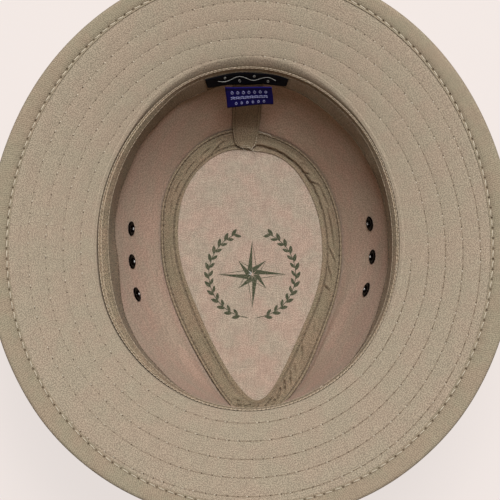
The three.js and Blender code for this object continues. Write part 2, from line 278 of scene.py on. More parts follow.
def sewn_twill_finish(name, shade, groove, hole, line=(0.3, 0.6), faint=1.0, **variant):
    """Twill with grooves and needle holes. Groove and hole are reaches in parts of a row and a stitch.

    Line is how dark the painted shade in a groove is where it is lightest and darkest. Away from the
    front right it fades to a faint part of that.
    """
    finish, tree = new_finish(name)
    colour, height = twill_graph(tree, shade, **variant)
    rows = add(tree, "ShaderNodeUVMap", uv_map="rows").outputs["UV"]
    split = add(tree, "ShaderNodeSeparateXYZ", {"Vector": rows})
    from_hole = calc(tree, "PINGPONG", split.outputs["X"], 0.5)
    from_row = calc(tree, "PINGPONG", split.outputs["Y"], 0.5)
    sunk = ramp(tree, from_row, 0.0, groove, 1.0, 0.0)
    at_row = ramp(tree, from_row, 0.25 * groove, 0.8 * groove, 1.0, 0.0)
    pierced = calc(tree, "MULTIPLY", ramp(tree, from_hole, 0.3 * hole, hole, 1.0, 0.0), at_row)
    place = {0: add(tree, "ShaderNodeTexCoord").outputs["Object"], 1: front_right}
    pulled = add(tree, "ShaderNodeVectorMath", place, operation="DOT_PRODUCT").outputs["Value"]
    dark = ramp(tree, noise(tree, rows, 1.7, 2.0), 0.35, 0.65, *line)
    dark = calc(tree, "MULTIPLY", dark, ramp(tree, pulled, -0.03, 0.10, faint, 1.0))
    # painted shade: the grooves darken towards this tone, most towards the front right
    shadow = tuple(c * f for c, f in zip(shade, (0.34, 0.28, 0.21)))
    colour = blended(tree, calc(tree, "MULTIPLY", at_row, dark), colour, shadow)
    # painted shade: the needle holes darken to a dark brown
    uneven = ramp(tree, noise(tree, rows, 0.9, 2.0), 0.35, 0.62, 0.4, 1.0)
    colour = blended(tree, calc(tree, "MULTIPLY", pierced, uneven), colour, (0.060, 0.038, 0.022))
    height = calc(tree, "SUBTRACT", height, calc(tree, "MULTIPLY", sunk, 1.2))
    height = calc(tree, "SUBTRACT", height, calc(tree, "MULTIPLY", pierced, 2.5))
    finish_with(tree, colour, bumped(tree, height))
    return finish


quilted_twill = sewn_twill_finish("quilted_twill", khaki, groove=0.058, hole=0.075, faint=0.2,
                                  grain=1.2, clouds=0.6)
binding_twill = sewn_twill_finish("binding_twill", (0.325, 0.262, 0.186), groove=0.10, hole=0.10, slant=12.0,
                                  grain=1.2, clouds=0.9, rib=0.0011, ribbed=0.40)
tape_twill = sewn_twill_finish("tape_twill", (0.254, 0.193, 0.129), groove=0.07, hole=0.15, line=(0.10, 0.80),
                               slant=48.0, grain=2.1)
print("sewn finishes:", quilted_twill.name, binding_twill.name, tape_twill.name)

# %% [markdown]
# ### Thread, labels and enamel
#
# Thread is two yarns twisted together. That is too fine to draw, and shows as light and dark specks
# with a slight sheen. The labels are woven from finer, smoother yarn than the twill. The vents are
# stamped brass under black enamel, with dust that a noise brings in, and a few faces of each vent get
# a painted glint, a light finish of its own.

# %% Thread, label cloth and enamel


def thread_finish(name, shade):
    """Twisted sewing thread."""
    finish, tree = new_finish(name)
    coords = add(tree, "ShaderNodeTexCoord").outputs["Object"]
    twist = noise(tree, coords, 2600, 1.0)
    colour = blended(tree, ramp(tree, twist, 0.3, 0.7), tuple(c * 0.72 for c in shade), shade)
    finish_with(tree, colour, bumped(tree, twist, 0.00008), 0.75, 0.05, 0.3)
    return finish


def label_finish(name, shade, rib, rough, gloss):
    """Fine ribbed label cloth."""
    finish, tree = new_finish(name)
    coords = add(tree, "ShaderNodeUVMap", uv_map="cloth").outputs["UV"]
    waves = {"Vector": coords, "Scale": 0.31416 / rib, "Distortion": 0.6}
    across = add(tree, "ShaderNodeTexWave", waves, bands_direction="X").outputs["Fac"]
    along = add(tree, "ShaderNodeTexWave", waves, bands_direction="Y").outputs["Fac"]
    height = calc(tree, "ADD", calc(tree, "MULTIPLY", across, along), noise(tree, coords, 1800))
    colour = blended(tree, ramp(tree, height, 0.4, 1.2), tuple(c * 0.6 for c in shade), shade)
    finish_with(tree, colour, bumped(tree, height, 0.00008), rough, 0.0, gloss)
    return finish


def enamel_finish(name, shade):
    """Glossy black enamel with dust that a noise scatters over it."""
    finish, tree = new_finish(name)
    coords = add(tree, "ShaderNodeTexCoord").outputs["Object"]
    dust = ramp(tree, noise(tree, coords, 700, 3.0), 0.52, 0.75)
    colour = blended(tree, calc(tree, "MULTIPLY", dust, 0.25), shade, (0.012, 0.008, 0.006))
    rough = calc(tree, "ADD", calc(tree, "MULTIPLY", dust, 0.2), 0.2)
    finish_with(tree, colour, bumped(tree, dust, 0.00002), rough, 0.0, 0.03)
    return finish


# a pale thread, made paler still as a painted highlight on the quilting beads
highlit_quilt_thread = thread_finish("highlit_quilt_thread", (0.72, 0.63, 0.50))
# the hem's thread, painted dark as shade
painted_shade_thread = thread_finish("painted_shade_thread", (0.105, 0.070, 0.042))
tape_sewing = thread_finish("tape_sewing", (0.27, 0.21, 0.145))
edge_sewing = thread_finish("edge_sewing", (0.45, 0.35, 0.24))
cream_thread = thread_finish("cream_thread", (0.66, 0.57, 0.44))
pale_thread = thread_finish("pale_thread", (0.58, 0.46, 0.33))
white_thread = thread_finish("white_thread", (0.62, 0.60, 0.55))
sky_thread = thread_finish("sky_thread", (0.40, 0.41, 0.72))
black_label = label_finish("black_label", (0.0045, 0.0045, 0.008), 0.0006, 0.8, 0.08)
navy_label = label_finish("navy_label", (0.012, 0.009, 0.125), 0.0005, 0.7, 0.05)
black_enamel = enamel_finish("black_enamel", (0.0018, 0.0010, 0.0009))
# painted glint: a light finish for a few faces of each vent
painted_glint = thread_finish("painted_glint", (0.66, 0.63, 0.60))
print("other finishes:", len(bpy.data.materials), "materials so far")

# %% [markdown]
# ## The hat's own shape
#
# Every piece is a sheet that goes round the crown, so one set of formulas places them all: an angle
# round the hat, a depth below the opening, and how far in from the crown's outside. They repeat the
# solid model's dimensions, in millimetres, and add the small unevenness of a worn hat. Modelling by hand
# would look as soft, but then pieces that touch would have to be matched by eye.

# %% The hat's measures
base_half = (90.5, 102.0)
brim_half = (146.2, 154.2)
opening_middle = 1.0
tip_middle, tip_half_length = -20.75, 89.25
tip_turn = math.radians(2.5)
print("opening", base_half, "brim", brim_half, "tip half length", tip_half_length)

# %% [markdown]
# Worn cloth needs soft numbers. The next helpers ease a value from one level to another, raise a bump in
# it, or carry it round the hat through values at a few places. A curve object could hold such a line
# too, but a formula can be asked for its value at any place.

# %% Soft steps, bumps and values round the hat


def mixed(start, end, share):
    return start + (end - start) * share


def eased(low, high, value):
    """A smooth step from 0 at low to 1 at high."""
    share = np.clip((value - low) / (high - low), 0, 1)
    return share * share * (3 - 2 * share)


def hump(middle, reach, value):
    """A soft bump, 1 at its middle."""
    return np.exp(-(((value - middle) / reach) ** 2))


def around(spots, angle, soft=4.0):
    """A value that runs smoothly round the hat through spots, given as {degrees: value}."""
    values = np.interp(np.arange(360), list(spots), list(spots.values()), period=360)
    waves = np.fft.rfft(values)
    waves = waves * np.exp(-0.5 * (np.arange(len(waves)) * math.radians(soft)) ** 2)
    values = np.fft.irfft(waves, 360)
    return np.interp(np.degrees(angle) % 360, np.arange(361), np.append(values, values[0]))


def turned(angle, middle):
    """How far an angle is from a middle given in degrees, from -180 to 180."""
    return (np.degrees(angle) - middle + 180) % 360 - 180


def unit(x, y):
    length = np.hypot(x, y)
    return x / length, y / length


print("a soft step at its quarter, half and end:", eased(0, 1, np.array([0.25, 0.5, 1.0])))

# %% [markdown]
# The opening is an oval, slightly fuller at three places, and lies lower at the back than at the front.
# The tip is a teardrop: its half width grows along the hat, so it is pointed at the front and blunt at
# the back, and it is turned a little.

# %% The oval of the opening and the teardrop of the tip


def opening_height(y):
    return 105 - 0.0998 * (y - opening_middle)


def base_place(angle):
    full = 1 + 0.012 * np.cos(3 * (angle - math.radians(214)))
    return full * base_half[0] * np.cos(angle), opening_middle + full * base_half[1] * np.sin(angle)


def base_normal(angle):
    return unit(np.cos(angle) / base_half[0], np.sin(angle) / base_half[1])


def crown_height(angle):
    return opening_height(base_place(angle)[1])


def teardrop_half(along):
    return 54.9 + 14.7 * along - 6.3 * along * along


def tip_place(angle, reach):
    """A place over the teardrop: reach is 0 in its middle and 1 on its ridge."""
    along = reach * np.sin(angle)
    across = reach * np.cos(angle) * teardrop_half(along)
    along = along * tip_half_length
    cos, sin = math.cos(tip_turn), math.sin(tip_turn)
    return across * cos - along * sin, tip_middle + across * sin + along * cos


def ridge_normal(angle):
    before, after = tip_place(angle - 0.001, 1), tip_place(angle + 0.001, 1)
    return unit(after[1] - before[1], before[0] - after[0])


print("half the tip's width at its front, middle and back:", *(teardrop_half(along) for along in (-1, 0, 1)))

# %% [markdown]
# A worn hat isn't a perfect oval. Wear has let the opening out at its front left and pressed it in at
# its right, the sewn seam has pulled the tip's ridge in on the left, and the brim's outline is a little
# fuller than an oval at its corners. Each is a value that runs smoothly round the hat through a few
# measured places.

# %% Where the hat is worn
# Each table gives millimetres at angles in degrees, from the hat's right side round by its back.
band_edge = {0: 5.4, 10: 4.9, 20: 4.3, 30: 3.9, 40: 3.8, 50: 4.0, 60: 4.0, 70: 4.0, 80: 4.2, 90: 4.3,
             100: 4.0, 110: 3.3, 120: 3.2, 130: 3.1, 140: 3.0, 150: 2.8, 160: 2.6, 170: 2.6, 180: 3.0,
             188: 3.2, 196: 2.3, 202: 1.9, 210: 1.8, 220: 2.3, 230: 2.7, 240: 2.9, 250: 2.6, 260: 2.5,
             270: 2.4, 280: 2.6, 290: 3.1, 300: 3.7, 310: 4.1, 320: 4.6, 330: 5.2, 340: 5.3, 350: 5.3}
ridge_pull = {0: -0.2, 30: 0.0, 45: 0.3, 60: 1.2, 75: 2.2, 85: 1.6, 97: 0.2, 110: -0.2, 130: -0.1, 140: 0.3,
              150: 1.0, 157: 2.4, 163: 3.2, 180: 3.3, 200: 3.7, 215: 3.3, 230: 2.1, 240: 0.9, 250: 0.2,
              290: -0.2, 300: -1.2, 310: -1.7, 320: -1.2, 330: 0.0, 350: -0.5}
fuller_edge = {0: 0, 20: 0.1, 30: 0.6, 40: 1.3, 50: 1.7, 60: 1.7, 75: 1.2, 90: 0.6, 105: 1.0, 120: 1.4,
               130: 1.0, 140: 0.75, 150: 0.3, 160: -0.2, 180: -0.1, 210: 0.1, 220: 0.9, 230: 1.0, 240: 1.1,
               255: 0.8, 270: 0.4, 285: 0.8, 300: 1.3, 310: 1.0, 320: 1.2, 330: 0.6, 345: 0.1}
print("the brim is fuller by up to", max(fuller_edge.values()), "mm, the ridge pulled in by up to",
      max(ridge_pull.values()), "mm")

# %% [markdown]
# With these, two functions place all the cloth: one gives points of the crown, from the opening down to
# the ridge, and one gives points of the brim.

# %% Points of the crown and the brim


def worn_in(angle):
    """How far wear has moved the opening's edge in, in millimetres."""
    return around(band_edge, angle) - 3.9


def worn_out(angle):
    """How far wear has moved the brim's edge out."""
    return -2.05 * np.sin(2 * angle) * np.cos(angle)


def crown_point(angle, depth, inset):
    """A point of the crown's cloth, from its depth and how far in it is from the outside."""
    angle, depth, inset = np.broadcast_arrays(angle, depth, inset)
    height = crown_height(angle)
    lean = np.clip(depth / height, 0, 1) ** 1.4
    (base_x, base_y), (tip_x, tip_y) = base_place(angle), tip_place(angle, 1)
    (out_x, out_y), (ridge_x, ridge_y) = base_normal(angle), ridge_normal(angle)
    out_x, out_y = unit(mixed(out_x, ridge_x, lean), mixed(out_y, ridge_y, lean))
    inset = inset + worn_in(angle) * (1 - lean) ** 3 + around(ridge_pull, angle) * 0.65 * lean**6
    x, y = mixed(base_x, tip_x, lean) - out_x * inset, mixed(base_y, tip_y, lean) - out_y * inset
    return np.stack([x, y, height - depth], -1)


def brim_point(angle, across, lift, beyond=0.0):
    """A point of the brim: across is 0 at the crown and 1 at the cloth's edge, and beyond lies past it."""
    angle, across, lift = np.broadcast_arrays(angle, across, lift)
    (base_x, base_y), (out_x, out_y) = base_place(angle), base_normal(angle)
    base_x, base_y = base_x - out_x * worn_in(angle), base_y - out_y * worn_in(angle)
    past = beyond + worn_out(angle) + around(fuller_edge, angle) * across**3
    x = mixed(base_x, (brim_half[0] + past) * np.cos(angle), across)
    y = mixed(base_y, (brim_half[1] + past) * np.sin(angle), across)
    rise = 22 * across * (1.12 - 0.12 * across)
    return np.stack([x, y, opening_height(y) + rise + lift], -1)


def round_angles(steps):
    """Angles round the hat, with the first one again at the end."""
    return np.linspace(0, 2 * math.pi, steps + 1)[:, None]


print("front of the crown is", round(float(crown_height(1.5 * math.pi)), 1), "mm deep")

# %% [markdown]
# ## From rows of points to a mesh
#
# Each sheet of cloth is a grid of points, closed on itself like a tube that is bent into a ring. The
# helper below turns such a grid into a mesh in one go. It also lays the maps on it: for the cloth map
# it measures the real distance along the grid, so that the twill isn't stretched.

# %% Lay a map along a grid


def laid_out(points):
    """Distances in metres along both directions of a grid of points, as a map."""
    round_steps = np.linalg.norm(np.diff(points, axis=0), axis=2)
    girth = np.concatenate([[0], np.cumsum(round_steps.mean(axis=1))])
    row_steps = np.linalg.norm(np.diff(points, axis=1), axis=2)
    depth = np.concatenate([[0], np.cumsum(row_steps.mean(axis=0))])
    return np.stack(np.meshgrid(girth, depth, indexing="ij"), -1) / 1000


small_grid = np.array([[[0, 0, 0], [0, 4, 0]], [[3, 0, 0], [3, 4, 0]]])
print("a grid of 3 by 4 mm is laid out to", laid_out(small_grid).max((0, 1)), "m")

# %% Build a sheet from its grid


def sheet_mesh(name, points, ring=True, loop=True, finish=None, maps=None, inside_from=None, inside=None):
    """A mesh in metres from a grid in millimetres. A ring or loop ends with its first points again."""
    steps, rows = points.shape[:2]
    kept = points[: steps - ring, : rows - loop]
    index = np.arange(kept.shape[0] * kept.shape[1]).reshape(kept.shape[:2])
    index = np.vstack([index, index[:1]]) if ring else index
    index = np.hstack([index, index[:, :1]]) if loop else index
    corners = lambda grid: np.stack([grid[:-1, :-1], grid[1:, :-1], grid[1:, 1:], grid[:-1, 1:]], 2)
    quads = corners(index).reshape(-1, 4)
    flat = kept.reshape(-1, 3)
    a, b, c, d = (flat[quads[:, i]] for i in range(4))
    volume = np.einsum("ij,ij->", a, np.cross(b, c)) + np.einsum("ij,ij->", a, np.cross(c, d))
    order = [3, 2, 1, 0] if volume < 0 else [0, 1, 2, 3]
    mesh = bpy.data.meshes.new(name)
    mesh.from_pydata((flat / 1000).tolist(), [], quads[:, order].tolist())
    for key, grid in {"cloth": laid_out(points), **(maps or {})}.items():
        layer = mesh.uv_layers.new(name=key)
        values = corners(grid).reshape(-1, 4, 2)[:, order].reshape(-1)
        layer.data.foreach_set("uv", values.astype(np.float32))
    mesh.polygons.foreach_set("use_smooth", [True] * len(quads))
    mesh.materials.append(finish)
    if inside is not None:
        mesh.materials.append(inside)
        row_of = np.tile(np.arange(rows - 1), steps - 1)
        mesh.polygons.foreach_set("material_index", (row_of >= inside_from).astype(np.int32))
    mesh.update()
    piece = bpy.data.objects.new(name, mesh)
    bpy.context.scene.collection.objects.link(piece)
    return piece


print("grids can be made into meshes")

# %% [markdown]
# A finished piece is put on the hat in the same way each time: it rides on the hat's only body, and may
# stand for one of the plain solids.

# %% Put a piece on the hat, and bend between two rows


def put_on(piece, slot, *nodes):
    """Puts a piece on the hat: its body and the solids that it stands for. Its slot is not used."""
    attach(piece, "root")
    if nodes:
        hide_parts(*nodes)
    low, high = np.array(piece.bound_box).min(0), np.array(piece.bound_box).max(0)
    size = " x ".join(f"{v * 1000:.0f}" for v in high - low)
    print(f"{piece.name}: {len(piece.data.polygons)} faces, {size} mm")


def bridged(start, start_pull, end_pull, end, steps):
    """Rows of points along a smooth bend between two rows, as a cubic curve."""
    share = np.linspace(0, 1, steps + 2)[1:-1][None, :, None]
    parts = (start, start_pull, end_pull, end)
    weights = ((1 - share) ** 3, 3 * share * (1 - share) ** 2, 3 * share**2 * (1 - share), share**3)
    return sum(part[:, None] * weight for part, weight in zip(parts, weights))


print("sheet helpers are ready")

# %% [markdown]
# ## Stitches
#
# A lockstitch shows as a short arch of thread between two needle holes. Hundreds of curve objects would
# be slow, so all the stitches of a seam go into one mesh, each a six-sided tube that dives into the
# cloth at both ends.

# %% Make the stitches


def sew(name, starts, ends, up, radius, finish, proud=0.5, side=6):
    """One mesh of stitches from needle hole to needle hole, arched up off the cloth."""
    share = np.array([0.0, 0.16, 0.5, 0.84, 1.0])
    lift = radius * np.array([-1.1, 0.55 * proud, proud, 0.55 * proud, -1.1])
    width = radius * np.array([0.55, 0.95, 1.0, 0.95, 0.55])
    along = ends - starts
    along = along / np.linalg.norm(along, axis=1, keepdims=True)
    up = up / np.linalg.norm(up, axis=1, keepdims=True)
    wide = np.cross(along, up)
    wide = wide / np.linalg.norm(wide, axis=1, keepdims=True)
    turn = np.linspace(0, 2 * math.pi, side, endpoint=False)
    centre = mixed(starts[:, None], ends[:, None], share[None, :, None])
    centre = centre + up[:, None] * lift[None, :, None]
    round_it = np.cos(turn)[None, :, None] * wide[:, None] + np.sin(turn)[None, :, None] * up[:, None]
    points = centre[:, :, None] + width[None, :, None, None] * round_it[:, None]
    count, rings = len(starts), len(share)
    first = np.arange(count)[:, None, None] * rings * side
    ring = np.arange(rings - 1)[None, :, None] * side
    here = np.arange(side)[None, None, :]
    there = (here + 1) % side
    quads = np.stack([first + ring + here, first + ring + there, first + ring + side + there,
                      first + ring + side + here], -1).reshape(-1, 4)[:, ::-1].tolist()
    start_caps = (first[:, 0] + here[0]).tolist()
    end_caps = (first[:, 0] + (rings - 1) * side + here[0, :, ::-1]).tolist()
    mesh = bpy.data.meshes.new(name)
    mesh.from_pydata((points.reshape(-1, 3) / 1000).tolist(), [], quads + start_caps + end_caps)
    mesh.polygons.foreach_set("use_smooth", [True] * len(mesh.polygons))
    mesh.materials.append(finish)
    mesh.update()
    piece = bpy.data.objects.new(name, mesh)
    bpy.context.scene.collection.objects.link(piece)
    return piece


print("stitches can be made from pairs of needle holes")

# %% [markdown]
# A machine sews even steps along a line, so the needle holes are measured out along a row of points. A
# slant moves the two ends of each stitch to opposite sides, as the pull of the thread does.

# %% Sew along a line


def seam_holes(line, pitch):
    """Needle holes at even steps along a line of points."""
    reach = np.concatenate([[0], np.cumsum(np.linalg.norm(np.diff(line, axis=0), axis=1))])
    count = max(2, round(reach[-1] / pitch))
    at = np.linspace(0, reach[-1], count + 1)
    return np.stack([np.interp(at, reach, line[:, i]) for i in range(3)], -1)


def sew_along(name, line, up, pitch, radius, finish, gap=0.5, proud=0.5, slant=0.0):
    """Sews along a line of points. Up gives the way out of the cloth at each of them."""
    holes = seam_holes(line, pitch)
    reach = np.linspace(0, 1, len(line))
    spot = np.linspace(0, 1, len(holes))
    ups = np.stack([np.interp(spot, reach, up[:, i]) for i in range(3)], -1)
    ups = (ups[:-1] + ups[1:]) / 2
    along = holes[1:] - holes[:-1]
    length = np.linalg.norm(along, axis=1, keepdims=True)
    along = along / length
    wide = np.cross(along, ups)
    wide = wide / np.linalg.norm(wide, axis=1, keepdims=True)
    starts = holes[:-1] + along * gap / 2 + wide * slant
    ends = holes[1:] - along * gap / 2 - wide * slant
    return sew(name, starts, ends, ups, radius, finish, proud)


def joined(name, pieces):
    """Several meshes as one piece."""
    whole = bmesh.new()
    for piece in pieces:
        whole.from_mesh(piece.data)
    mesh = bpy.data.meshes.new(name)
    whole.to_mesh(mesh)
    whole.free()
    for finish in pieces[0].data.materials:
        mesh.materials.append(finish)
    for piece in pieces:
        bpy.data.objects.remove(piece)
    result = bpy.data.objects.new(name, mesh)
    bpy.context.scene.collection.objects.link(result)
    return result


print("sewing helpers are ready")

# %% [markdown]
# ## The quilted brim
#
# The brim is two layers of twill, as a rule with a stiffener between, sewn through along one long spiral
# of about four and a half turns. The thread pulls the layers together, so the cloth puffs up a little
# between the turns. A simulation of that would be slow and no better than a formula, since the spiral's
# place is known: across the brim it moves out by one spacing a turn.

# %% Where the spiral runs
first_turn, last_turn = 0.52, 4.97
stitch_length = 6.0


def spiral_parts(angle):
    """The two numbers of the spiral at an angle: its place before the first turn and its step a turn."""
    start = -0.109 + 0.018 * np.cos(angle) - 0.066 * np.sin(angle) + 0.043 * np.cos(2 * angle)
    step = 0.179 - 0.004 * np.cos(angle) + 0.008 * np.sin(angle) - 0.010 * np.cos(2 * angle)
    return start, step


def turn_share(angle):
    """The part of a turn that the spiral has made at an angle: it starts at the left and runs clockwise."""
    return 0.5 - angle / (2 * math.pi)


def binding_seam(angle):
    """How far across the brim the binding's seam lies."""
    return 0.841 - 0.0254 * np.cos(2 * angle) + 0.0096 * np.sin(angle)


def spiral_across(turns):
    """How far across the brim the spiral lies after so many turns. Its end runs out under the binding."""
    angle = math.pi * (1 - 2 * turns)
    start, step = spiral_parts(angle)
    return start + step * turns + 0.05 * eased(last_turn - 0.2, last_turn, turns)


def spiral_angle(turns):
    return math.pi * (1 - 2 * turns)


long_turns = np.linspace(first_turn, last_turn, 4000)
long_line = brim_point(spiral_angle(long_turns), spiral_across(long_turns), 1.2)
long_reach = np.concatenate([[0], np.cumsum(np.linalg.norm(np.diff(long_line, axis=0), axis=1))])
print("the spiral is", round(long_reach[-1] / 1000, 2), "m long")

# %% [markdown]
# Two things follow from the spiral: the rows map that the quilted finish reads, and the puffs between
# the rows. The puffs stop at the binding, because the cloth is pressed flat under it.

# %% The brim's rows map and its puffs


def rows_map(angle, across):
    """Counts stitches and rows over the brim. Where no row is near, it stays halfway between two."""
    start, step = spiral_parts(angle)
    count = (across - start) / step - turn_share(angle)
    turns = np.round(count) + turn_share(angle)
    count = count - 0.05 * eased(last_turn - 0.2, last_turn, turns) / step
    sewn = (turns >= first_turn) & (turns <= last_turn)
    stitches = np.interp(turns, long_turns, long_reach / stitch_length)
    return np.stack([stitches, np.where(sewn, count, 0.5)], -1)


def brim_puff(angle, across):
    """How much the quilted cloth stands out, from 0 in a row's groove."""
    count = rows_map(angle, across)[..., 1]
    apart = np.abs(count - np.round(count)) * 10
    flat = eased(0.0, 0.03, binding_seam(angle) - 0.02 - across)
    return (0.20 * (1 - np.exp(-((apart / 1.1) ** 2))) + 0.06 * np.sin(np.pi * apart / 10) ** 2) * flat


def brim_wave(angle, across):
    """The brim's slow unevenness, the same on both faces."""
    slow = 0.5 * np.sin(3 * angle + 0.7) + 0.35 * np.sin(5 * angle + 2.1) + 0.2 * np.sin(9 * angle + 4.0)
    return slow * eased(0.1, 1.0, across)


sample = rows_map(np.array(math.pi / 2), np.array(0.5))
print("halfway across at the back:", sample.round(2), "stitches and rows")

# %% [markdown]
# At its inner edge the brim rolls down into the crown, and its raw edge is hidden there between the
# band and the wall. The roll starts nearer or farther from the band round the hat, which leaves a thin
# dark gap between the two. At the back the roll turns down deeper, over the band's sewn edge. The roll
# is a cubic curve from the brim's upper face to the crown, and the rest is one closed section.

# %% Roll the brim into the crown
# Where the roll starts, and how wide the dark gap between it and the band is, in millimetres.
roll_start = {0: 4.2, 30: 3.0, 40: 2.4, 50: 1.5, 60: 0.7, 70: 0.0, 80: -1.0, 100: -1.0, 115: -0.3, 130: 0.6,
              140: 1.8, 160: 1.6, 180: 1.8, 200: 0.6, 215: 0.8, 230: 1.4, 250: 1.4, 270: 1.3, 290: 2.0,
              310: 2.9, 330: 4.0, 350: 4.2}
edge_gap = {0: 0.45, 30: 0.4, 60: 0.6, 90: 0.9, 120: 0.7, 150: 0.6, 180: 0.6, 205: 0.8, 225: 1.5, 240: 1.8,
            250: 1.6, 262: 1.1, 280: 0.8, 300: 0.8, 320: 0.7, 335: 0.5}


def inner_end(angle):
    """How far across the brim its upper face ends."""
    return (worn_in(angle) - around(roll_start, angle) - (1.0 - around(edge_gap, angle))) / 55.7


def brim_top(angle, across, lift=0.0):
    """The brim's upper face. A cord lies under it next to the roll, except at the back."""
    from_roll = across - inner_end(angle)
    cord = 0.34 * hump(0.016, 0.009, from_roll) - 0.12 * hump(0.037, 0.009, from_roll)
    cord = cord * (1 - hump(0, 40, turned(angle, 92)))
    return brim_point(angle, across, 0.95 + brim_puff(angle, across) + brim_wave(angle, across) + cord + lift)


def brim_under(angle, across, lift=0.0):
    return brim_point(angle, across, brim_wave(angle, across) - 0.95 - brim_puff(angle, across) - lift)


def at_back(angle):
    """1 at the back of the hat, falling softly to 0 at its sides."""
    return hump(0, 46, turned(angle, 94))


def edge_depth_at(angle):
    """How deep the band's sewn edge lies. At the back the brim's roll turns down over it."""
    return 1.5 + 3.2 * at_back(angle)


angle = round_angles(600)
top_shares = np.concatenate([np.linspace(0, 0.93, 50), np.linspace(0.945, 1, 9)])[None]
top_rows = mixed(1.0, inner_end(angle), top_shares)
under_rows = np.linspace(0.02, 1, 52)[None]
top = brim_top(angle, top_rows)
under = brim_under(angle, under_rows)
flat_angle = angle[:, 0]
back_share = at_back(flat_angle)
roll_end = edge_depth_at(flat_angle) + 1.6
roll = bridged(top[:, -1], brim_top(angle, inner_end(angle) - 0.022)[:, 0],
               crown_point(flat_angle, roll_end - 2.6 - 1.5 * back_share, 3.72 - 0.9 * back_share),
               crown_point(flat_angle, roll_end, 3.7), 11)
flange_depths = np.concatenate([edge_depth_at(angle) + 1.6, np.tile([8.0, 8.7, 9.0, 8.7], (len(angle), 1)),
                                5.0 + 0.6 * at_back(angle), 2.4 + at_back(angle)], 1)
flange_insets = np.array([3.7, 3.6, 3.4, 2.8, 2.1, 1.9, 1.9])[None]
flange = crown_point(angle, flange_depths, flange_insets)
section = np.concatenate([top, roll, flange, under, top[:, :1]], axis=1)
rolled = np.full((len(angle), roll.shape[1] + flange.shape[1]), -0.3)
section_across = np.hstack([top_rows, rolled, np.tile(under_rows, (len(angle), 1)), np.ones((len(angle), 1))])
brim_rows = rows_map(angle, section_across)
brim_cloth = sheet_mesh("brim_cloth", section, finish=quilted_twill, maps={"rows": brim_rows})
put_on(brim_cloth, "twill", "brim")

# %% [markdown]
# The quilting thread follows the same spiral on both faces. It is pulled so far into the soft cloth that
# only a short bead of each stitch shows, right after its needle hole, and about half of them have sunk
# out of sight. The holes are where the rows map has a whole number, so thread and holes meet. The
# beads are much paler than the twill: partly the thread's own colour, and partly a painted highlight
# beside each hole.

# %% Sew the spiral
bead_start, bead_end, bead_radius = 0.07, 0.27, 0.23
bead_share_shown = 0.5
hole_reach = np.arange(0, long_reach[-1], stitch_length)
hole_turns = np.interp(hole_reach, long_reach, long_turns)


def spiral_stitches(name, face, way):
    angle, across = spiral_angle(hole_turns), spiral_across(hole_turns)
    holes = face(angle, across)
    beside = face(angle, across + 0.02) - face(angle, across - 0.02)
    along = np.gradient(holes, axis=0)
    up = np.cross(beside, along)
    up = up * np.sign(up[:, 2:]) * way
    mid_up = (up[:-1] + up[1:]) / 2
    step = holes[1:] - holes[:-1]
    shown = (across[:-1] > 0.03) & (np.random.default_rng(3).random(len(step)) < bead_share_shown)
    starts, ends = holes[:-1] + bead_start * step, holes[:-1] + bead_end * step
    return sew(name, starts[shown], ends[shown], mid_up[shown], bead_radius, highlit_quilt_thread, proud=1.1)


quilting = joined("quilting_thread", [spiral_stitches("over", brim_top, 1),
                                      spiral_stitches("below", brim_under, -1)])
put_on(quilting, "twill")

# %% [markdown]
# ## The binding
#
# A strip of the same twill, cut on the bias, is folded round the brim's edge and sewn through once. It
# is tighter in its weave than the brim and lies smoother, but every stitch of its thicker cream thread
# pulls it down a little, so it ripples between the stitches.

# %% Fold the binding round the edge
binding_count = 158  # stitches round the edge, each about 5.6 mm long


def binding_top(angle, across, lift=0.0, way=1):
    """A face of the binding, dipped along its seam."""
    seam = binding_seam(angle)
    from_seam = (across - seam) * 56
    stitches = angle / (2 * math.pi) * binding_count
    ripple = 0.12 * np.cos(2 * math.pi * stitches) * hump(0, 3.2, from_seam)
    dip = 0.55 * hump(0, 1.3, from_seam) + ripple
    ease = 0.34 * np.sin(math.pi * np.clip((across - seam) / (1 - seam), 0, 1)) * (1 + 0.5 * np.sin(11 * angle))
    body = 2.1 - dip + ease + lift
    return brim_point(angle, across, brim_wave(angle, across) + way * body)


angle = round_angles(948)
inner_edge = binding_seam(angle) - 0.020
share = np.concatenate([np.linspace(0, 0.22, 9), np.linspace(0.28, 1, 9)])[None]
rows = inner_edge + share * (0.985 - inner_edge)
wave = brim_wave(angle, 1.0)
fold_turn = np.radians(np.array([70, 45, 20, 0, -20, -45, -70]))[None]
fold = np.stack([brim_point(angle, 0.992, wave + 1.95 * np.sin(turn), 1.3 * np.cos(turn))[:, 0]
                 for turn in fold_turn[0]], 1)
over, below = binding_top(angle, rows), binding_top(angle, rows, way=-1)[:, ::-1]
over_hem = np.stack([brim_point(angle, inner_edge + back, wave * 0.8 + lift)[:, 0]
                     for lift, back in ((1.25, 0.004), (1.2, 0.004), (1.45, -0.0035), (1.85, -0.0035))], 1)
below_hem = np.stack([brim_point(angle, inner_edge + back, wave * 0.8 - lift)[:, 0]
                      for lift, back in ((1.85, -0.0035), (1.45, -0.0035), (1.2, 0.004))], 1)
inner_rows = np.array([0.90, 0.96])[None]
under_side = brim_point(angle, inner_rows, brim_wave(angle, inner_rows) + 1.2)[:, ::-1]
inner_fold = brim_point(angle, 0.992, wave)
lower_side = brim_point(angle, inner_rows, brim_wave(angle, inner_rows) - 1.2)[:, ::-1]
section = np.concatenate([over_hem[:, 1:], over, fold, below, below_hem, lower_side[:, ::-1], inner_fold,
                          under_side], axis=1)
section = np.concatenate([section, section[:, :1]], axis=1)
stitch_count = np.broadcast_to(angle / (2 * math.pi) * binding_count, section.shape[:2])
from_seam = np.full(section.shape[:2], 0.5)
from_seam[:, 3:3 + rows.shape[1]] = (rows - binding_seam(angle)) * 6
below_start = 3 + rows.shape[1] + fold.shape[1]
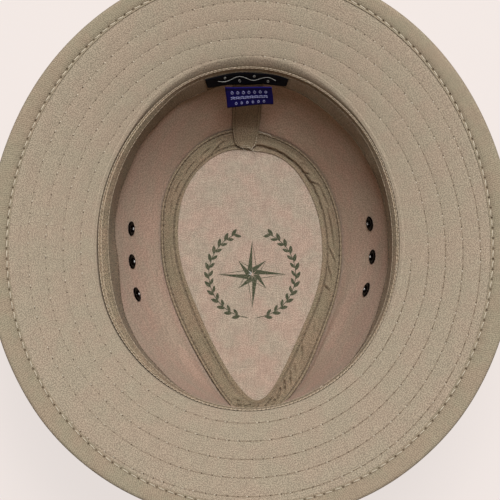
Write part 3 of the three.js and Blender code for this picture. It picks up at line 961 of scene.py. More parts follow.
from_seam[:, below_start:below_start + rows.shape[1]] = ((rows - binding_seam(angle)) * 6)[:, ::-1]
from_seam = np.clip(from_seam, -0.5, 0.5)
binding = sheet_mesh("edge_binding_cloth", section, finish=binding_twill,
                     maps={"rows": np.stack([stitch_count, from_seam], -1)})
put_on(binding, "twill", "edge_binding")

# %% [markdown]
# One row of thick cream thread holds the binding. Its stitches lie a little aslant, and each starts and
# ends where the binding dips deepest, so the ripple and the thread belong together.

# %% Sew the binding
hole_angle = np.arange(binding_count + 1) / binding_count * 2 * math.pi


def binding_stitches(name, way):
    holes = binding_top(hole_angle, binding_seam(hole_angle), 0.0, way)
    step = holes[1:] - holes[:-1]
    middle = (hole_angle[1:] + hole_angle[:-1]) / 2
    seam = binding_seam(middle)
    beside = binding_top(middle, seam + 0.03, 0, way) - binding_top(middle, seam - 0.03, 0, way)
    up = np.cross(beside, step)
    up = up * np.sign(up[:, 2:]) * way
    wide = beside / np.linalg.norm(beside, axis=1, keepdims=True)
    starts = holes[:-1] + 0.12 * step - wide * 0.16
    ends = holes[1:] - 0.12 * step + wide * 0.16
    return sew(name, starts, ends, up, 0.30, cream_thread, proud=0.9)


binding_thread = joined("binding_thread", [binding_stitches("over", 1), binding_stitches("below", -1)])
put_on(binding_thread, "twill")

# %% [markdown]
# ## The crown's wall
#
# The side of the crown is one layer of twill with a rosy backing, so its two faces get different
# finishes. It hangs slack: each side has a slight belly, and near the front a soft valley runs along it
# just above the tape. Low down, the tape's sewn edge draws the wall in or out. All of that is a formula
# that presses into the cloth like a thumb. A plain extrusion has a thickness but no slack, and a cloth
# simulation would move the wall off the pieces that are sewn to it.

# %% Valleys and folds of the wall
# How far in from the ridge the tape's outer edge is sewn, in millimetres.
tape_outer = {0: -1.9, 30: -1.6, 45: -1.3, 60: -0.2, 75: 0.8, 83: 0.4, 97: -1.4, 110: -1.8, 130: -1.7,
              140: -1.2, 150: -0.6, 157: 1.0, 163: 1.8, 180: 1.8, 200: 2.2, 215: 1.8, 230: 0.6, 240: -0.6,
              250: -1.4, 270: -1.6, 290: -1.9, 300: -2.8, 310: -3.3, 320: -2.8, 330: -1.6, 340: -1.5,
              350: -2.1}
tape_height = 9.0


def wall_at_tape(angle, slack=0.0):
    """How far in from the ridge the wall's inner face is, level with the tape's edge."""
    place = crown_point(angle, crown_height(angle) - tape_height, 1.6 + slack)
    (x, y), (out_x, out_y) = tip_place(angle, 1), ridge_normal(angle)
    return (x - place[..., 0]) * out_x + (y - place[..., 1]) * out_y


def wall_slack(angle, depth):
    """How far the wall's cloth is pushed in at a place, in millimetres."""
    above = crown_height(angle) - depth
    shown = 1 - hump(0, 17, turned(angle, 270))
    drawn = (around(tape_outer, angle) - 0.8 - wall_at_tape(angle)) * shown
    left = turned(angle, 222)
    right = turned(angle, 322)
    valley = -0.7 * hump(17, 6.0, above + 0.10 * left) * hump(0, 26, left)
    valley += -1.3 * hump(18, 6.0, above - 0.12 * right) * hump(0, 22, right)
    strip = 0.4 * hump(10.5, 3.2, above) * (hump(0, 30, left) + hump(0, 30, right))
    slow = 0.8 * np.sin(5 * angle + 0.6) * np.sin(math.pi * np.clip(above / 105, 0, 1))
    belly = 1.3 * hump(0, 26, turned(angle, 356)) + 0.6 * hump(0, 24, turned(angle, 186))
    slow = slow + belly * hump(44, 20, above)
    fine = 0.25 * np.sin(13 * angle + 0.05 * above) * hump(45, 26, above)
    sewn = eased(2, 10, above) * eased(3, 14, depth)
    drawn = drawn * eased(0, 8.5, above) * hump(0, 13, np.clip(above - 9, 0, None)) * eased(3, 14, depth)
    return drawn - (valley + strip + slow + fine) * sewn


def wall_point(angle, depth, inset):
    return crown_point(angle, depth, inset + wall_slack(angle, depth))


print("the wall's slack at the right, halfway down:", wall_slack(0.0, 50.0).round(2), "mm")

# %% Build the wall
angle = round_angles(400)
full = crown_height(angle)
shares = np.linspace(0, 1, 62)[None]
depths = mixed(1.8 + 1.1 * at_back(angle), full - 0.9, shares)
outside = wall_point(angle, depths, 0.0)
inside = wall_point(angle, depths[:, ::-1], 1.6)
edge_depth = full - np.array([0.45, 0.12, 0.0, 0.12, 0.45])[None]
edge_inset = np.array([0.05, 0.3, 0.8, 1.3, 1.55])[None]
edge = crown_point(angle, edge_depth, edge_inset)
section = np.concatenate([outside, edge, inside, outside[:, :1]], axis=1)
wall = sheet_mesh("crown_wall_cloth", section, finish=outer_twill, inside_from=outside.shape[1] + 3,
                  inside=lining_twill)
print("wall slack ranges", wall_slack(angle, depths).min().round(2), wall_slack(angle, depths).max().round(2))

# %% [markdown]
# ### The vents
#
# Three small eyelets a side let air through. Each is a barrel through a real hole with a flange that
# is rolled over on both faces. The barrel's outline is turned round its axis, as on a lathe. They follow
# the photograph, so they sit a few millimetres from the plain solids, which the print below shows.

# %% Where the vents sit
vent_depth = {"left": 62, "right": 60.5}
vent_rows = {"front": -32, "middle": -12, "back": 8}
vent_sides = {"left": (180, -1, -1.5), "right": (0, 1, 1.5)}


def vent_angle(side, y):
    """The angle on one side of the crown whose cloth lies at this place along Y."""
    start, way, _ = vent_sides[side]
    low, high = -60.0, 60.0
    for _ in range(40):
        middle = (low + high) / 2
        if crown_point(math.radians(start + way * middle), vent_depth[side], 0.8)[1] < y:
            low = middle
        else:
            high = middle
    return math.radians(start + way * middle)


def vent_placing(side, row):
    """The middle of a vent in the cloth and its way out, in millimetres."""
    angle = vent_angle(side, vent_rows[row] + vent_sides[side][2])
    at = lambda turn, down: wall_point(angle + turn, vent_depth[side] + down, 0.8)
    round_way = at(0.009, 0) - at(-0.009, 0)
    down_way = at(0, 0.5) - at(0, -0.5)
    out = np.cross(down_way, round_way)
    return at(0, 0), out / np.linalg.norm(out)


vents = {f"{side}_{row}": vent_placing(side, row) for side in vent_sides for row in vent_rows}
for name, (place, _) in vents.items():
    low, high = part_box("eyelet_" + name)
    solid = [(a + b) * 500 for a, b in zip(low, high)]
    print(name, place.round(1), "solid's middle", [round(v, 1) for v in solid])

# %% Turn the eyelets


def lathe_piece(name, outline, place, out, finish, sides=40):
    """A closed outline of radius and height, turned round an axis."""
    turn = np.linspace(0, 2 * math.pi, sides + 1)[:, None]
    out = Vector(out)
    across = out.orthogonal().normalized()
    up = out.cross(across)
    across, up, out = (np.array(v) for v in (across, up, out))
    radius, height = np.array(outline).T[:, None]
    points = (place + radius[..., None] * (np.cos(turn)[..., None] * across + np.sin(turn)[..., None] * up)
              + height[..., None] * out)
    points = np.concatenate([points, points[:, :1]], axis=1)
    return sheet_mesh(name, points, finish=finish)


def rolled_flange():
    """The outline of one side of an eyelet, from its bore to its barrel, and the same mirrored."""
    turn = np.radians(np.linspace(150, -60, 12))
    roll = [(3.35 + 1.15 * math.cos(t), 1.18 + 0.58 * math.sin(t)) for t in turn]
    side = [(1.75, 0.0), (1.78, 0.9), (2.0, 1.25)] + roll + [(2.4, 0.85)]
    return side + [(radius, -height) for radius, height in side[:0:-1]]


glint_faces = 7  # faces of each vent with a painted glint, on the lower lip of its inside flange
for name, (place, out) in vents.items():
    eyelet = lathe_piece("vent_" + name, rolled_flange(), place, out, black_enamel)
    eyelet.data.materials.append(painted_glint)
    middles = np.array([face.center for face in eyelet.data.polygons]) * 1000 - place
    facing = np.array([face.normal for face in eyelet.data.polygons])
    # painted glint: the lowest faces of the inside flange that turn most up and in get the light finish
    glint_score = facing @ (np.array([0, 0, 0.9]) - 0.45 * out) - 0.30 * middles[:, 2] - 2 * (middles @ out > 0)
    for face in np.argsort(glint_score)[-glint_faces:]:
        eyelet.data.polygons[int(face)].material_index = 1
    put_on(eyelet, "black_enamel", "eyelet_" + name)

# %% [markdown]
# The holes are cut with a Boolean modifier, one joined cutter for all six. The modifier is applied at
# once, because a finished mesh is easier to check and to export.

# %% Cut the holes
cutters = [lathe_piece("cutter", [(0.02, 5), (2.35, 5), (2.35, -5), (0.02, -5)], place, out, outer_twill, 24)
           for place, out in vents.values()]
cutter = joined("cutter", cutters)
cut = wall.modifiers.new("vents", "BOOLEAN")
cut.operation, cut.solver, cut.object = "DIFFERENCE", "EXACT", cutter
evaluated = wall.evaluated_get(bpy.context.evaluated_depsgraph_get())
drilled = bpy.data.meshes.new_from_object(evaluated)
faces_before = len(wall.data.polygons)
wall.modifiers.clear()
wall.data = drilled
bpy.data.objects.remove(cutter)
print("faces before and after the holes:", faces_before, len(wall.data.polygons))
put_on(wall, "crown_twill", "crown_wall")

# %% [markdown]
# ### The wall's seams
#
# Outside, a round row of stitches holds the wall to the brim and another one holds it to the tip, and
# two rows run down the back on either side of its seam. The photograph doesn't show them, but a sewn
# crown has them, and a plain outside needs no more.

# %% Sew the wall's seams
turn = np.linspace(0, 2 * math.pi, 1500)
down = np.linspace(8, float(crown_height(math.pi / 2)) - 6, 60)
beside_seam = 0.028
seam_places = [(turn, 5.0), (turn, crown_height(turn) - 3.5), (math.pi / 2 - beside_seam, down),
               (math.pi / 2 + beside_seam, down)]
crown_seams = []
for seam_angle, depth in seam_places:
    line = wall_point(seam_angle, depth, -0.02)
    up = wall_point(seam_angle, depth, -1.0) - line
    crown_seams.append(sew_along("seam", line, up, 3.2, 0.17, pale_thread))
crown_thread = joined("crown_thread", crown_seams)
put_on(crown_thread, "crown_twill")

# %% [markdown]
# ## The tip
#
# The teardrop panel is sewn in at the ridge and sags a little into the crown. Its cloth shows small
# soft dents, because nothing stretches it. One height formula serves the panel and whatever lies on it.

# %% The tip's cloth


def tip_sag(x, y):
    """How far the panel is dished into the crown."""
    cos, sin = math.cos(tip_turn), math.sin(tip_turn)
    across = x * cos + (y - tip_middle) * sin
    along = ((y - tip_middle) * cos - x * sin) / tip_half_length
    return 3 * np.clip(1 - along**2 - (across / teardrop_half(along)) ** 2, 0, 1)


def tip_height(x, y):
    """The height of the panel's upper face, with its soft dents."""
    dents = 0.22 * np.sin(0.085 * x + 0.031 * y + 1.1) * np.sin(0.062 * y - 0.024 * x)
    dents = dents + 0.10 * np.sin(0.19 * x - 0.11 * y) * np.sin(0.15 * y + 0.07 * x + 2.0)
    return 1.9 + tip_sag(x, y) * (1 + 0.25 * dents) + dents * eased(0, 1.2, tip_sag(x, y))


angle = round_angles(320)
reaches = np.concatenate([[1.0, 0.99], np.linspace(0.97, 0.02, 68)])[None]
(edge_x, edge_y), (out_x, out_y) = tip_place(angle, 1), ridge_normal(angle)
edge_inset = 1.75 + 0.65 * around(ridge_pull, angle)
x = (edge_x - out_x * edge_inset) * reaches
y = tip_middle + (edge_y - out_y * edge_inset - tip_middle) * reaches
upper = np.stack([x, y, tip_height(x, y)], -1)
lower = np.stack([x, y, tip_height(x, y) - 1.45], -1)[:, ::-1]
section = np.concatenate([upper, lower, upper[:, :1]], axis=1)
flat_map = np.stack([section[..., 0], section[..., 1]], -1) / 1000
tip = sheet_mesh("crown_tip_cloth", section, finish=tip_twill, maps={"cloth": flat_map},
                 inside_from=len(reaches[0]), inside=outer_twill)
put_on(tip, "crown_twill", "crown_tip")

# %% [markdown]
# ## The sweatband
#
# A band of soft twill lines the opening. Its upper edge is folded over a cord and sewn to the brim's
# roll, below that it makes a padded roll that catches the light, and from a second seam down it hangs
# free and wavy in the shade. How wide the roll and the free part are differs round the hat, because the
# band was squeezed there, so both widths run through values that were measured at a few places.

# %% How wide the band's parts are
# In millimetres: the roll's width, how far in the free part's edge hangs, and how deep it hangs.
roll_width = {0: 3.5, 20: 3.5, 30: 2.8, 40: 2.3, 60: 2.1, 80: 2.3, 100: 2.3, 120: 2.3, 130: 3.8, 150: 4.3,
              170: 5.1, 180: 5.7, 190: 6.0, 200: 6.0, 210: 5.0, 220: 4.2, 230: 3.3, 240: 1.9, 250: 1.2,
              270: 1.0, 290: 1.3, 310: 1.6, 330: 1.9, 340: 2.6, 350: 3.3}
free_edge = {0: 10.6, 10: 10.2, 20: 10.0, 30: 10.4, 40: 10.8, 50: 11.4, 60: 11.5, 70: 11.5, 80: 11.4,
             100: 11.4, 110: 11.3, 115: 11.8, 120: 9.9, 130: 9.8, 140: 9.5, 150: 10.0, 160: 10.0, 170: 10.2,
             180: 11.0, 187: 12.8, 191: 13.4, 196: 12.0, 203: 9.6, 210: 8.1, 220: 7.0, 230: 6.1, 240: 3.6,
             250: 1.8, 270: 1.2, 280: 1.7, 290: 2.3, 300: 3.2, 310: 4.2, 320: 6.2, 330: 8.3, 340: 9.7,
             350: 10.1}
roll_drop = 5.5
band_depth = {0: 23, 60: 23, 85: 25, 120: 30, 210: 30, 260: 28, 300: 25, 330: 23}
print("the roll is", min(roll_width.values()), "to", max(roll_width.values()), "mm wide")

# %% The band's faces and its waves


def rim_point(angle, depth, inward):
    """A point below the opening's edge, from its depth and how far in it is from the crown's oval."""
    (x, y), (out_x, out_y) = base_place(angle), base_normal(angle)
    return np.stack([x - out_x * inward, y - out_y * inward, opening_height(y) - depth + 0 * inward], -1)


def roll_face(angle, share, lift=0.0):
    """The corded roll, from the sewn edge at 0 to the second seam at 1."""
    width = around(roll_width, angle, 3.0)
    cord = 0.48 * hump(0.15, 0.075, share) + 0.38 * hump(0.42, 0.10, share) - 0.30 * hump(0.27, 0.05, share)
    cord = cord - 1.6 * around(edge_gap, angle) * hump(0, 0.08, share) - 0.35 * hump(1.0, 0.06, share)
    depth = edge_depth_at(angle) + roll_drop * share**2 - (cord + lift) * np.clip(width / 2.6, 0.45, 1)
    return rim_point(angle, depth, around(band_edge, angle) + 0.15 + width * share)


def free_face(angle, share, lift=0.0):
    """The free part, from the second seam at 0 to its edge at 1. Lift stands off it towards the head."""
    start = around(band_edge, angle) + 0.15 + around(roll_width, angle, 3.0)
    end = around(free_edge, angle, 2.5)
    loose = eased(0.1, 1.0, share)
    ripple = 0.30 * np.sin(14 * angle + 1.0) + 0.22 * np.sin(23 * angle + 3.0) + 0.12 * np.sin(41 * angle)
    hem = 0.14 * hump(0.95, 0.04, share) - 0.12 * hump(0.88, 0.03, share)
    start_depth = edge_depth_at(angle) + roll_drop
    sag = 0.7 * np.sin(9 * angle + 0.4) + 0.4 * np.sin(16 * angle + 2.0)
    depth = mixed(start_depth, around(band_depth, angle), share) + sag * loose
    inward = mixed(start, end, share**0.9) + ripple * loose * (1 - 0.6 * share) + hem
    return rim_point(angle, depth + 0.3 * lift, inward + lift)


print("at the back the free edge hangs at", free_face(math.pi / 2, 1.0).round(1), "mm")

# %% Build the band
angle = round_angles(540)
roll_shares = np.concatenate([np.linspace(0, 0.5, 20), np.linspace(0.55, 1, 12)])[None]
free_shares = np.concatenate([np.linspace(0.03, 0.8, 16), np.linspace(0.84, 1, 8)])[None]
back_shares = np.linspace(0.99, 0.05, 10)[None]
roll_back = np.linspace(0.9, 0.1, 5)[None]
section = np.concatenate([roll_face(angle, roll_shares), free_face(angle, free_shares),
                          free_face(angle, back_shares, -0.95), roll_face(angle, roll_back, -1.3)], axis=1)
section = np.concatenate([section, section[:, :1]], axis=1)
band = sheet_mesh("sweatband_cloth", section, finish=band_twill)
wall_beside = wall_point(angle, around(band_depth, angle), 1.6)
wall_clear = np.linalg.norm(free_face(angle, 1.0) - wall_beside, axis=-1).min()
print("the band's free edge clears the wall by", round(float(wall_clear), 1), "mm or more")
put_on(band, "sweatband_twill", "sweatband")

# %% [markdown]
# Three rows of pale thread run round the roll: along its sewn edge, along the cord and at its lower
# seam. The hem of the free part is sewn with a thread painted dark as shade, which shows as a thin
# dotted line.

# %% Sew the band's seams and its hem


def band_seam(name, face, share, pitch, radius, finish, proud, slant=0.0):
    turn = np.linspace(0, 2 * math.pi, 1400)
    line = face(turn, np.full_like(turn, share))
    up = face(turn, np.full_like(turn, share), 1.0) - line
    return sew_along(name, line, up, pitch, radius, finish, 0.15, proud, slant)


band_thread = joined("band_thread", [
    band_seam("edge", roll_face, 0.13, 2.3, 0.24, pale_thread, 1.1, 0.06),
    band_seam("cord", roll_face, 0.40, 2.7, 0.19, pale_thread, 0.9, 0.10),
    band_seam("lower", roll_face, 0.985, 2.9, 0.14, pale_thread, 0.9),
])
put_on(band_thread, "sweatband_twill")
# the hem's thread is painted dark as shade
hem_thread = band_seam("hem_thread", free_face, 0.90, 2.9, 0.17, painted_shade_thread, 0.7)
put_on(hem_thread, "sweatband_twill")

# %% [markdown]
# ## The tapes
#
# A strip of tape hides the raw seam between the wall and the tip. It was fed round a tight curve, so it
# puckers all the way, most of all at the pointed front and where its inner part was folded over, at the
# back right. Small ripples come from a formula, and the clear creases are laid in one by one from a
# list. Its sewn lines, its creases and its outer edge also go into a rows map, so that the sewn finish
# paints shade along them: in the grooves, in the creases, and as a contact shadow where the tape meets
# the wall. At the pointed front the wall leans over the tape, so the tape's edge is kept inside the
# wall's face.

# %% Where the tape lies and is creased
# How far in from the ridge the tape's inner edge lies, how far its inner seam is from that edge, and how
# high the folded part stands up, in millimetres.
tape_inner = {0: 10.0, 20: 10.6, 40: 10.8, 52: 10.0, 62: 10.2, 70: 11.0, 80: 12.6, 88: 12.6, 95: 11.2,
              102: 10.5, 110: 9.8, 130: 9.4, 142: 9.8, 152: 11.0, 170: 12.6, 180: 13.4, 190: 14.8,
              200: 15.0, 210: 14.2, 220: 13.2, 230: 11.8, 240: 10.8, 250: 10.0, 260: 9.6, 280: 8.8,
              290: 8.0, 300: 8.8, 310: 10.0, 320: 11.2, 330: 11.8, 340: 11.2, 350: 10.2}
tape_hem = {0: 3.2, 40: 3.2, 60: 2.4, 80: 3.4, 100: 2.0, 120: 1.3, 135: 1.4, 150: 2.4, 180: 2.5, 200: 3.3,
            220: 2.6, 240: 3.2, 270: 2.6, 300: 2.2, 320: 3.0, 340: 3.0}
tape_fold = {0: 0.3, 20: 0.4, 37: 1.8, 46: 3.2, 60: 3.8, 77: 3.4, 86: 1.0, 100: 0.3, 330: 0.3}
# Each crease runs between two places, given by an angle in degrees and a share of the tape's width.
tape_creases = [
    (3, 0.50, 9, 0.98, 0.7), (10, 0.62, 26, 0.66, 0.6), (27, 0.54, 38, 0.60, 0.5),
    (38, 0.62, 41, 0.95, 0.8), (44, 0.68, 47, 0.98, 0.8), (50, 0.55, 54, 0.80, 0.4),
    (103, 0.60, 112, 0.95, 0.9), (113, 0.62, 118, 0.68, 0.7), (124, 0.66, 131, 0.68, 0.7),
    (136, 0.68, 142, 0.64, 0.8), (147, 0.62, 152, 0.68, 0.6), (168, 0.72, 190, 0.70, 0.4),
    (205, 0.80, 232, 0.84, 0.4), (244, 0.45, 252, 0.75, 0.8), (249, 0.3, 256, 0.6, 0.9),
    (256, 0.55, 262, 0.9, 1.1), (262, 0.35, 268, 0.8, 1.0), (271, 0.5, 276, 0.9, 0.9),
    (280, 0.45, 290, 0.92, 1.1), (287, 0.35, 293, 0.6, 1.0), (288, 0.80, 296, 0.90, 1.0),
    (295, 0.55, 301, 0.80, 1.1), (302, 0.50, 306, 0.85, 1.1), (307, 0.48, 312, 0.84, 0.7),
    (313, 0.55, 316, 0.80, 0.5), (321, 0.62, 326, 0.90, 0.8), (333, 0.6, 337, 0.75, 0.4),
    (351, 0.55, 352.5, 0.95, 0.7), (356, 0.60, 361, 0.95, 0.6),
]
print(len(tape_creases), "creases")

# %% Press the creases in


def crease_relief(angle, share):
    """The hollows along the creases, each with a small ridge beside it, and how near the next one is."""
    relief = np.zeros(np.broadcast(angle, share).shape)
    nearest = relief + 9
    around_mm = (np.degrees(angle) % 360) * 1.08
    across_mm = share * 10.0
    for from_turn, from_share, to_turn, to_share, depth in tape_creases:
        start = np.array([from_turn * 1.08, from_share * 10.0])
        way = np.array([to_turn * 1.08, to_share * 10.0]) - start
        length = np.hypot(*way)
        way = way / length
        for shift in (0, 360 * 1.08, -360 * 1.08):
            beside, ahead = around_mm + shift - start[0], across_mm - start[1]
            along = np.clip(beside * way[0] + ahead * way[1], 0, length)
            off = (beside * way[1] - ahead * way[0])
            apart = np.hypot(beside - along * way[0], ahead - along * way[1])
            ends = np.sin(math.pi * np.clip(along / length, 0.12, 0.88)) ** 0.5
            near = apart < 5
            hollow = -depth * np.exp(-((apart / 0.55) ** 2))
            ridge = 0.55 * depth * np.exp(-(((apart - 1.15) / 0.7) ** 2)) * (off > 0)
            relief = relief + np.where(near, (hollow + ridge) * ends, 0)
            nearest = np.minimum(nearest, (apart + 0.4 * (1 - ends)) / depth)
    return relief, nearest


hollows = crease_relief(round_angles(720), np.linspace(0.3, 1, 36))[0]
print("relief of the creases runs from", hollows.min().round(2), "to", hollows.max().round(2))

# %% [markdown]
# The tape rests on the wall at its outer edge and on the tip at its inner one. Between them it falls in
# a soft curve, and along its two seams the thread draws it down. Where it was folded over, it stands
# higher up to the fold, and drops off at once behind it.

# %% The tape's upper face


def tape_over(angle, share, lift=0.0):
    """The tape's upper face: share is 0 at its edge on the wall, 1 at its inner seam, 1.3 at its edge."""
    angle, share = np.broadcast_arrays(angle, share)
    slack = wall_slack(angle, crown_height(angle) - tape_height)
    outer = np.maximum(around(tape_outer, angle), wall_at_tape(angle, slack) + 0.25)
    inner = around(tape_inner, angle)
    seam = inner - around(tape_hem, angle)
    past = np.clip((share - 1) / 0.3, 0, 1)
    inset = mixed(outer, seam, np.clip(share, 0, 1)) + (inner - seam) * past
    (x, y), (out_x, out_y) = tip_place(angle, 1), ridge_normal(angle)
    x, y = x - out_x * inset, y - out_y * inset
    free = np.clip(1 - share, 0, 1)
    fold = around(tape_fold, angle, 3.0)
    rise = 0.85 + (tape_height - 2.75) * free**1.45
    scallop = 0.042 * np.sin(37 * angle + 2 * np.sin(11 * angle)) * np.clip(fold, 0, 1)
    seam_reach = 0.045 + 0.035 * np.clip(fold - 0.5, 0, 1)
    rise = rise + fold * hump(0.84, 0.20, share) * (1 - eased(0.925, 0.965, share + scallop))
    rise = rise + 0.42 * hump(0.07, 0.06, share) - 0.62 * hump(0.19, 0.035, share)
    rise = rise - 0.75 * hump(1.0, 1, (share - 1.0) / seam_reach + 1.0)
    rise = rise + 0.25 * np.sin(math.pi * np.clip(share, 0, 1)) * np.sin(9 * angle + 3 * share)
    puckers = np.sin(118 * angle + 3 * np.sin(5 * angle)) * (hump(0.30, 0.10, share) + hump(0.90, 0.07, share))
    rise = rise + 0.12 * puckers + 0.18 * hump(1.27, 0.04, share) + 1.8 * crease_relief(angle, share)[0]
    return np.stack([x, y, tip_height(x, y) + np.clip(rise, 0.45, None) + lift], -1)


print("at the back the tape's outer edge lies at", tape_over(math.pi / 2, 0.0).round(1), "mm")

# %% Lay the tape


def seams_map(stitches, *apart):
    """A rows map from the stitches counted along, and the distances in millimetres from each seam."""
    nearest = np.min([np.abs(distance) for distance in apart], axis=0) / 10
    return np.stack(np.broadcast_arrays(stitches, np.clip(nearest, 0, 0.5)), -1)


tape_stitches = 134
angle = round_angles(960)
shares = np.concatenate([np.linspace(0, 0.28, 13), np.linspace(0.33, 0.85, 14),
                         [0.88, 0.91, 0.93, 0.945, 0.96, 0.975, 0.99], np.linspace(1.01, 1.06, 3),
                         np.linspace(1.11, 1.3, 6)])[None]
under_shares = np.array([1.29, 1.15, 1.0, 0.8, 0.6, 0.4, 0.2, 0.02])[None]
over = tape_over(angle, shares)
under = tape_over(angle, under_shares, -0.8)
under[..., 2] = np.maximum(under[..., 2], tip_height(under[..., 0], under[..., 1]) + 0.02)
section = np.concatenate([over, under, over[:, :1]], axis=1)
shown_width = around(tape_inner, angle) - around(tape_hem, angle) - around(tape_outer, angle)
past_seam = np.clip(shares - 1, 0, 1) / 0.3 * around(tape_hem, angle)
stitch_count = angle / (2 * math.pi) * tape_stitches
tape_maps = np.full((*section.shape[:2], 2), 0.5)
tape_maps[..., 0] = stitch_count
front = hump(0, 24, turned(angle, 272))
# painted shade: a contact shadow along the tape's outer edge, and shade in its seams and creases
from_edge = shares * shown_width + 0.12
from_outer_seam = np.abs(shares - 0.19) * shown_width + 0.5 * front
from_inner_seam = np.abs(np.minimum(shares - 1, 0) * shown_width + past_seam) + 2 * front
from_crease = crease_relief(angle, shares)[1] * 0.85
tape_maps[:, :over.shape[1]] = seams_map(stitch_count, from_edge, from_outer_seam, from_inner_seam, from_crease)
tape_maps[:, -1] = tape_maps[:, 0]
tip_tape = sheet_mesh("tip_tape_cloth", section, finish=tape_twill, maps={"rows": tape_maps})
print("the tape is", round(float(np.linalg.norm(np.diff(over[:, 20], axis=0), axis=1).sum())), "mm round")
put_on(tip_tape, "tape", "tip_seam_tape")

# %% [markdown]
# Two rows of thread in the tape's own shade hold it down, and a paler one shows along its outer edge.

# %% Sew the tape on


def tape_seam(name, share, pitch, radius, finish, slant=0.0):
    turn = np.linspace(0, 2 * math.pi, 1600)
    line = tape_over(turn, np.full_like(turn, share))
    up = np.array([0, 0, 1.0]) + np.stack([-a for a in (*ridge_normal(turn), 0 * turn)], -1) * 0.5
    return sew_along(name, line, up, pitch, radius, finish, 0.3, 0.7, slant)


tape_thread = joined("tape_thread", [tape_seam("outer", 0.19, 2.9, 0.15, tape_sewing),
                                     tape_seam("inner", 1.0, 2.9, 0.13, tape_sewing)])
put_on(tape_thread, "tape")
tape_edge_thread = tape_seam("tape_edge_thread", 0.095, 2.9, 0.19, edge_sewing)
put_on(tape_edge_thread, "tape")

# %% [markdown]
# A second tape covers the back seam. It lies flat on the wall, and at its foot it bends over the first
# tape and is folded to a rounded tongue. A list of a few rows gives its path, and a smooth curve runs
# through them, so the bend and the tongue need no sculpting.

# %% The tape down the back
# Each row is the height above the ridge, how far in from the outside, and the width, 1 being full.
back_middle = math.radians(89.6)
back_height = float(crown_height(back_middle))
back_rows = [(back_height - 26, 1.9, 1.0), (back_height - 42, 1.9, 1.0), (back_height - 56, 1.9, 1.0),
             (back_height - 68, 2.0, 1.0), (15.0, 2.6, 1.0), (12.0, 3.6, 1.0), (9.4, 5.2, 0.98),
             (7.4, 6.6, 0.97), (6.0, 8.2, 0.94), (5.5, 9.4, 0.86), (5.3, 10.5, 0.70), (5.2, 11.3, 0.48),
             (5.1, 11.7, 0.20)]
back_half_width = 9.2
print("the back tape is", 2 * back_half_width, "mm wide and ends", back_rows[-1][1], "mm in from the outside")

# %% Its path and its face


def rounded_path(rows, steps):
    """A smooth path through rows of numbers, with so many steps from one row to the next."""
    rows = np.array(rows, float)
    padded = np.vstack([2 * rows[0] - rows[1], rows, 2 * rows[-1] - rows[-2]])
    places = []
    for i in range(len(rows) - 1):
        before, start, end, after = padded[i:i + 4]
        for t in np.arange(steps) / steps:
            bend, twist = 2 * before - 5 * start + 4 * end - after, 3 * start - before - 3 * end + after
            places.append(0.5 * (2 * start + (end - before) * t + bend * t**2 + twist * t**3))
    return np.array(places + [rows[-1]])


def back_tape_point(side, path, lift):
    """A point of the back tape: side runs from -1 to 1 across it, and path holds height, inset and width."""
    above, inset, width = path[..., 0], path[..., 1], path[..., 2]
    lean = np.clip((back_height - above) / back_height, 0, 1) ** 1.4
    half_girth = mixed(base_half[0], teardrop_half(1), lean)
    fold = 0.45 * hump(0.45, 0.16, side) + 0.3 * hump(-0.62, 0.12, side)
    fold = fold + 0.25 * np.sin(5 * side + above * 0.16)
    rise = lift * np.clip((14 - above) / 6, 0, 1)
    swung = 0.011 * np.clip((above - 12) / 50, 0, 1)
    angle = back_middle + swung - side * width * back_half_width / half_girth
    return wall_point(angle, crown_height(angle) - (above + rise), inset + lift + 0.45 * fold)


path = rounded_path(back_rows, 6)
print("the path has", len(path), "rows")

# %% Lay the tape down the back
side_steps = np.linspace(-1, 1, 25)
side_grid, row_grid = np.meshgrid(side_steps, np.arange(len(path)), indexing="ij")
over = back_tape_point(side_grid, path[row_grid], 1.2)
under = back_tape_point(side_grid, path[row_grid], 0.05)


def flat_piece(name, over, under, finish, maps=None):
    """A thin piece with two faces, closed all round its edge."""
    loop = np.concatenate([over, under[:, ::-1], over[:, :1]], axis=1)
    piece = sheet_mesh(name, loop, ring=False, finish=finish, maps=maps)
    rows = over.shape[1]
    shell = bmesh.new()
    shell.from_mesh(piece.data)
    shell.verts.ensure_lookup_table()
    count = 2 * rows
    for start in (0, (over.shape[0] - 1) * count):
        for row in range(rows - 1):
            corners = [start + row, start + row + 1, start + count - 2 - row, start + count - 1 - row]
            face = shell.faces.new([shell.verts[i] for i in corners])
            face.smooth = True
    bmesh.ops.recalc_face_normals(shell, faces=shell.faces)
    shell.to_mesh(piece.data)
    shell.free()
    return piece


upper_map = seams_map(laid_out(over)[..., 1] * 1000 / 3.0,
                      (np.abs(side_grid) - 0.80) * back_half_width * path[row_grid][..., 2])
lower_map = np.stack([upper_map[..., 0], 0.5 + 0 * side_grid], -1)
tape_maps = np.concatenate([upper_map, lower_map[:, ::-1], upper_map[:, :1]], axis=1)
back_tape = flat_piece("back_tape_cloth", over, under, tape_twill, {"rows": tape_maps})
put_on(back_tape, "tape", "back_seam_tape")

# %% [markdown]
# Its seams run down both sides. On the right, along the tongue, the cut edge is oversewn with short
# cream stitches that lie aslant.

# %% Sew the back tape


def back_seam(name, side, rows, sits, *stitch):
    """Sews along the back tape at one place across it. Sits is how far the thread's line stands off."""
    across = np.full(len(rows), side)
    line = back_tape_point(across, rows, sits)
    return sew_along(name, line, back_tape_point(across, rows, 2.0) - line, *stitch)


back_thread = joined("back_tape_thread", [
    back_seam("seam", side, path[3:-16], 1.0, 3.0, 0.13, tape_sewing, 0.5, 0.8) for side in (-0.72, 0.72)
])
put_on(back_thread, "tape")
foot = path[-(len(path) // 2):-9]
frayed = back_seam("frayed_edge_thread", 0.93, foot, 1.15, 1.7, 0.2, cream_thread, 0.5, 1.0, 0.28)
put_on(frayed, "tape")

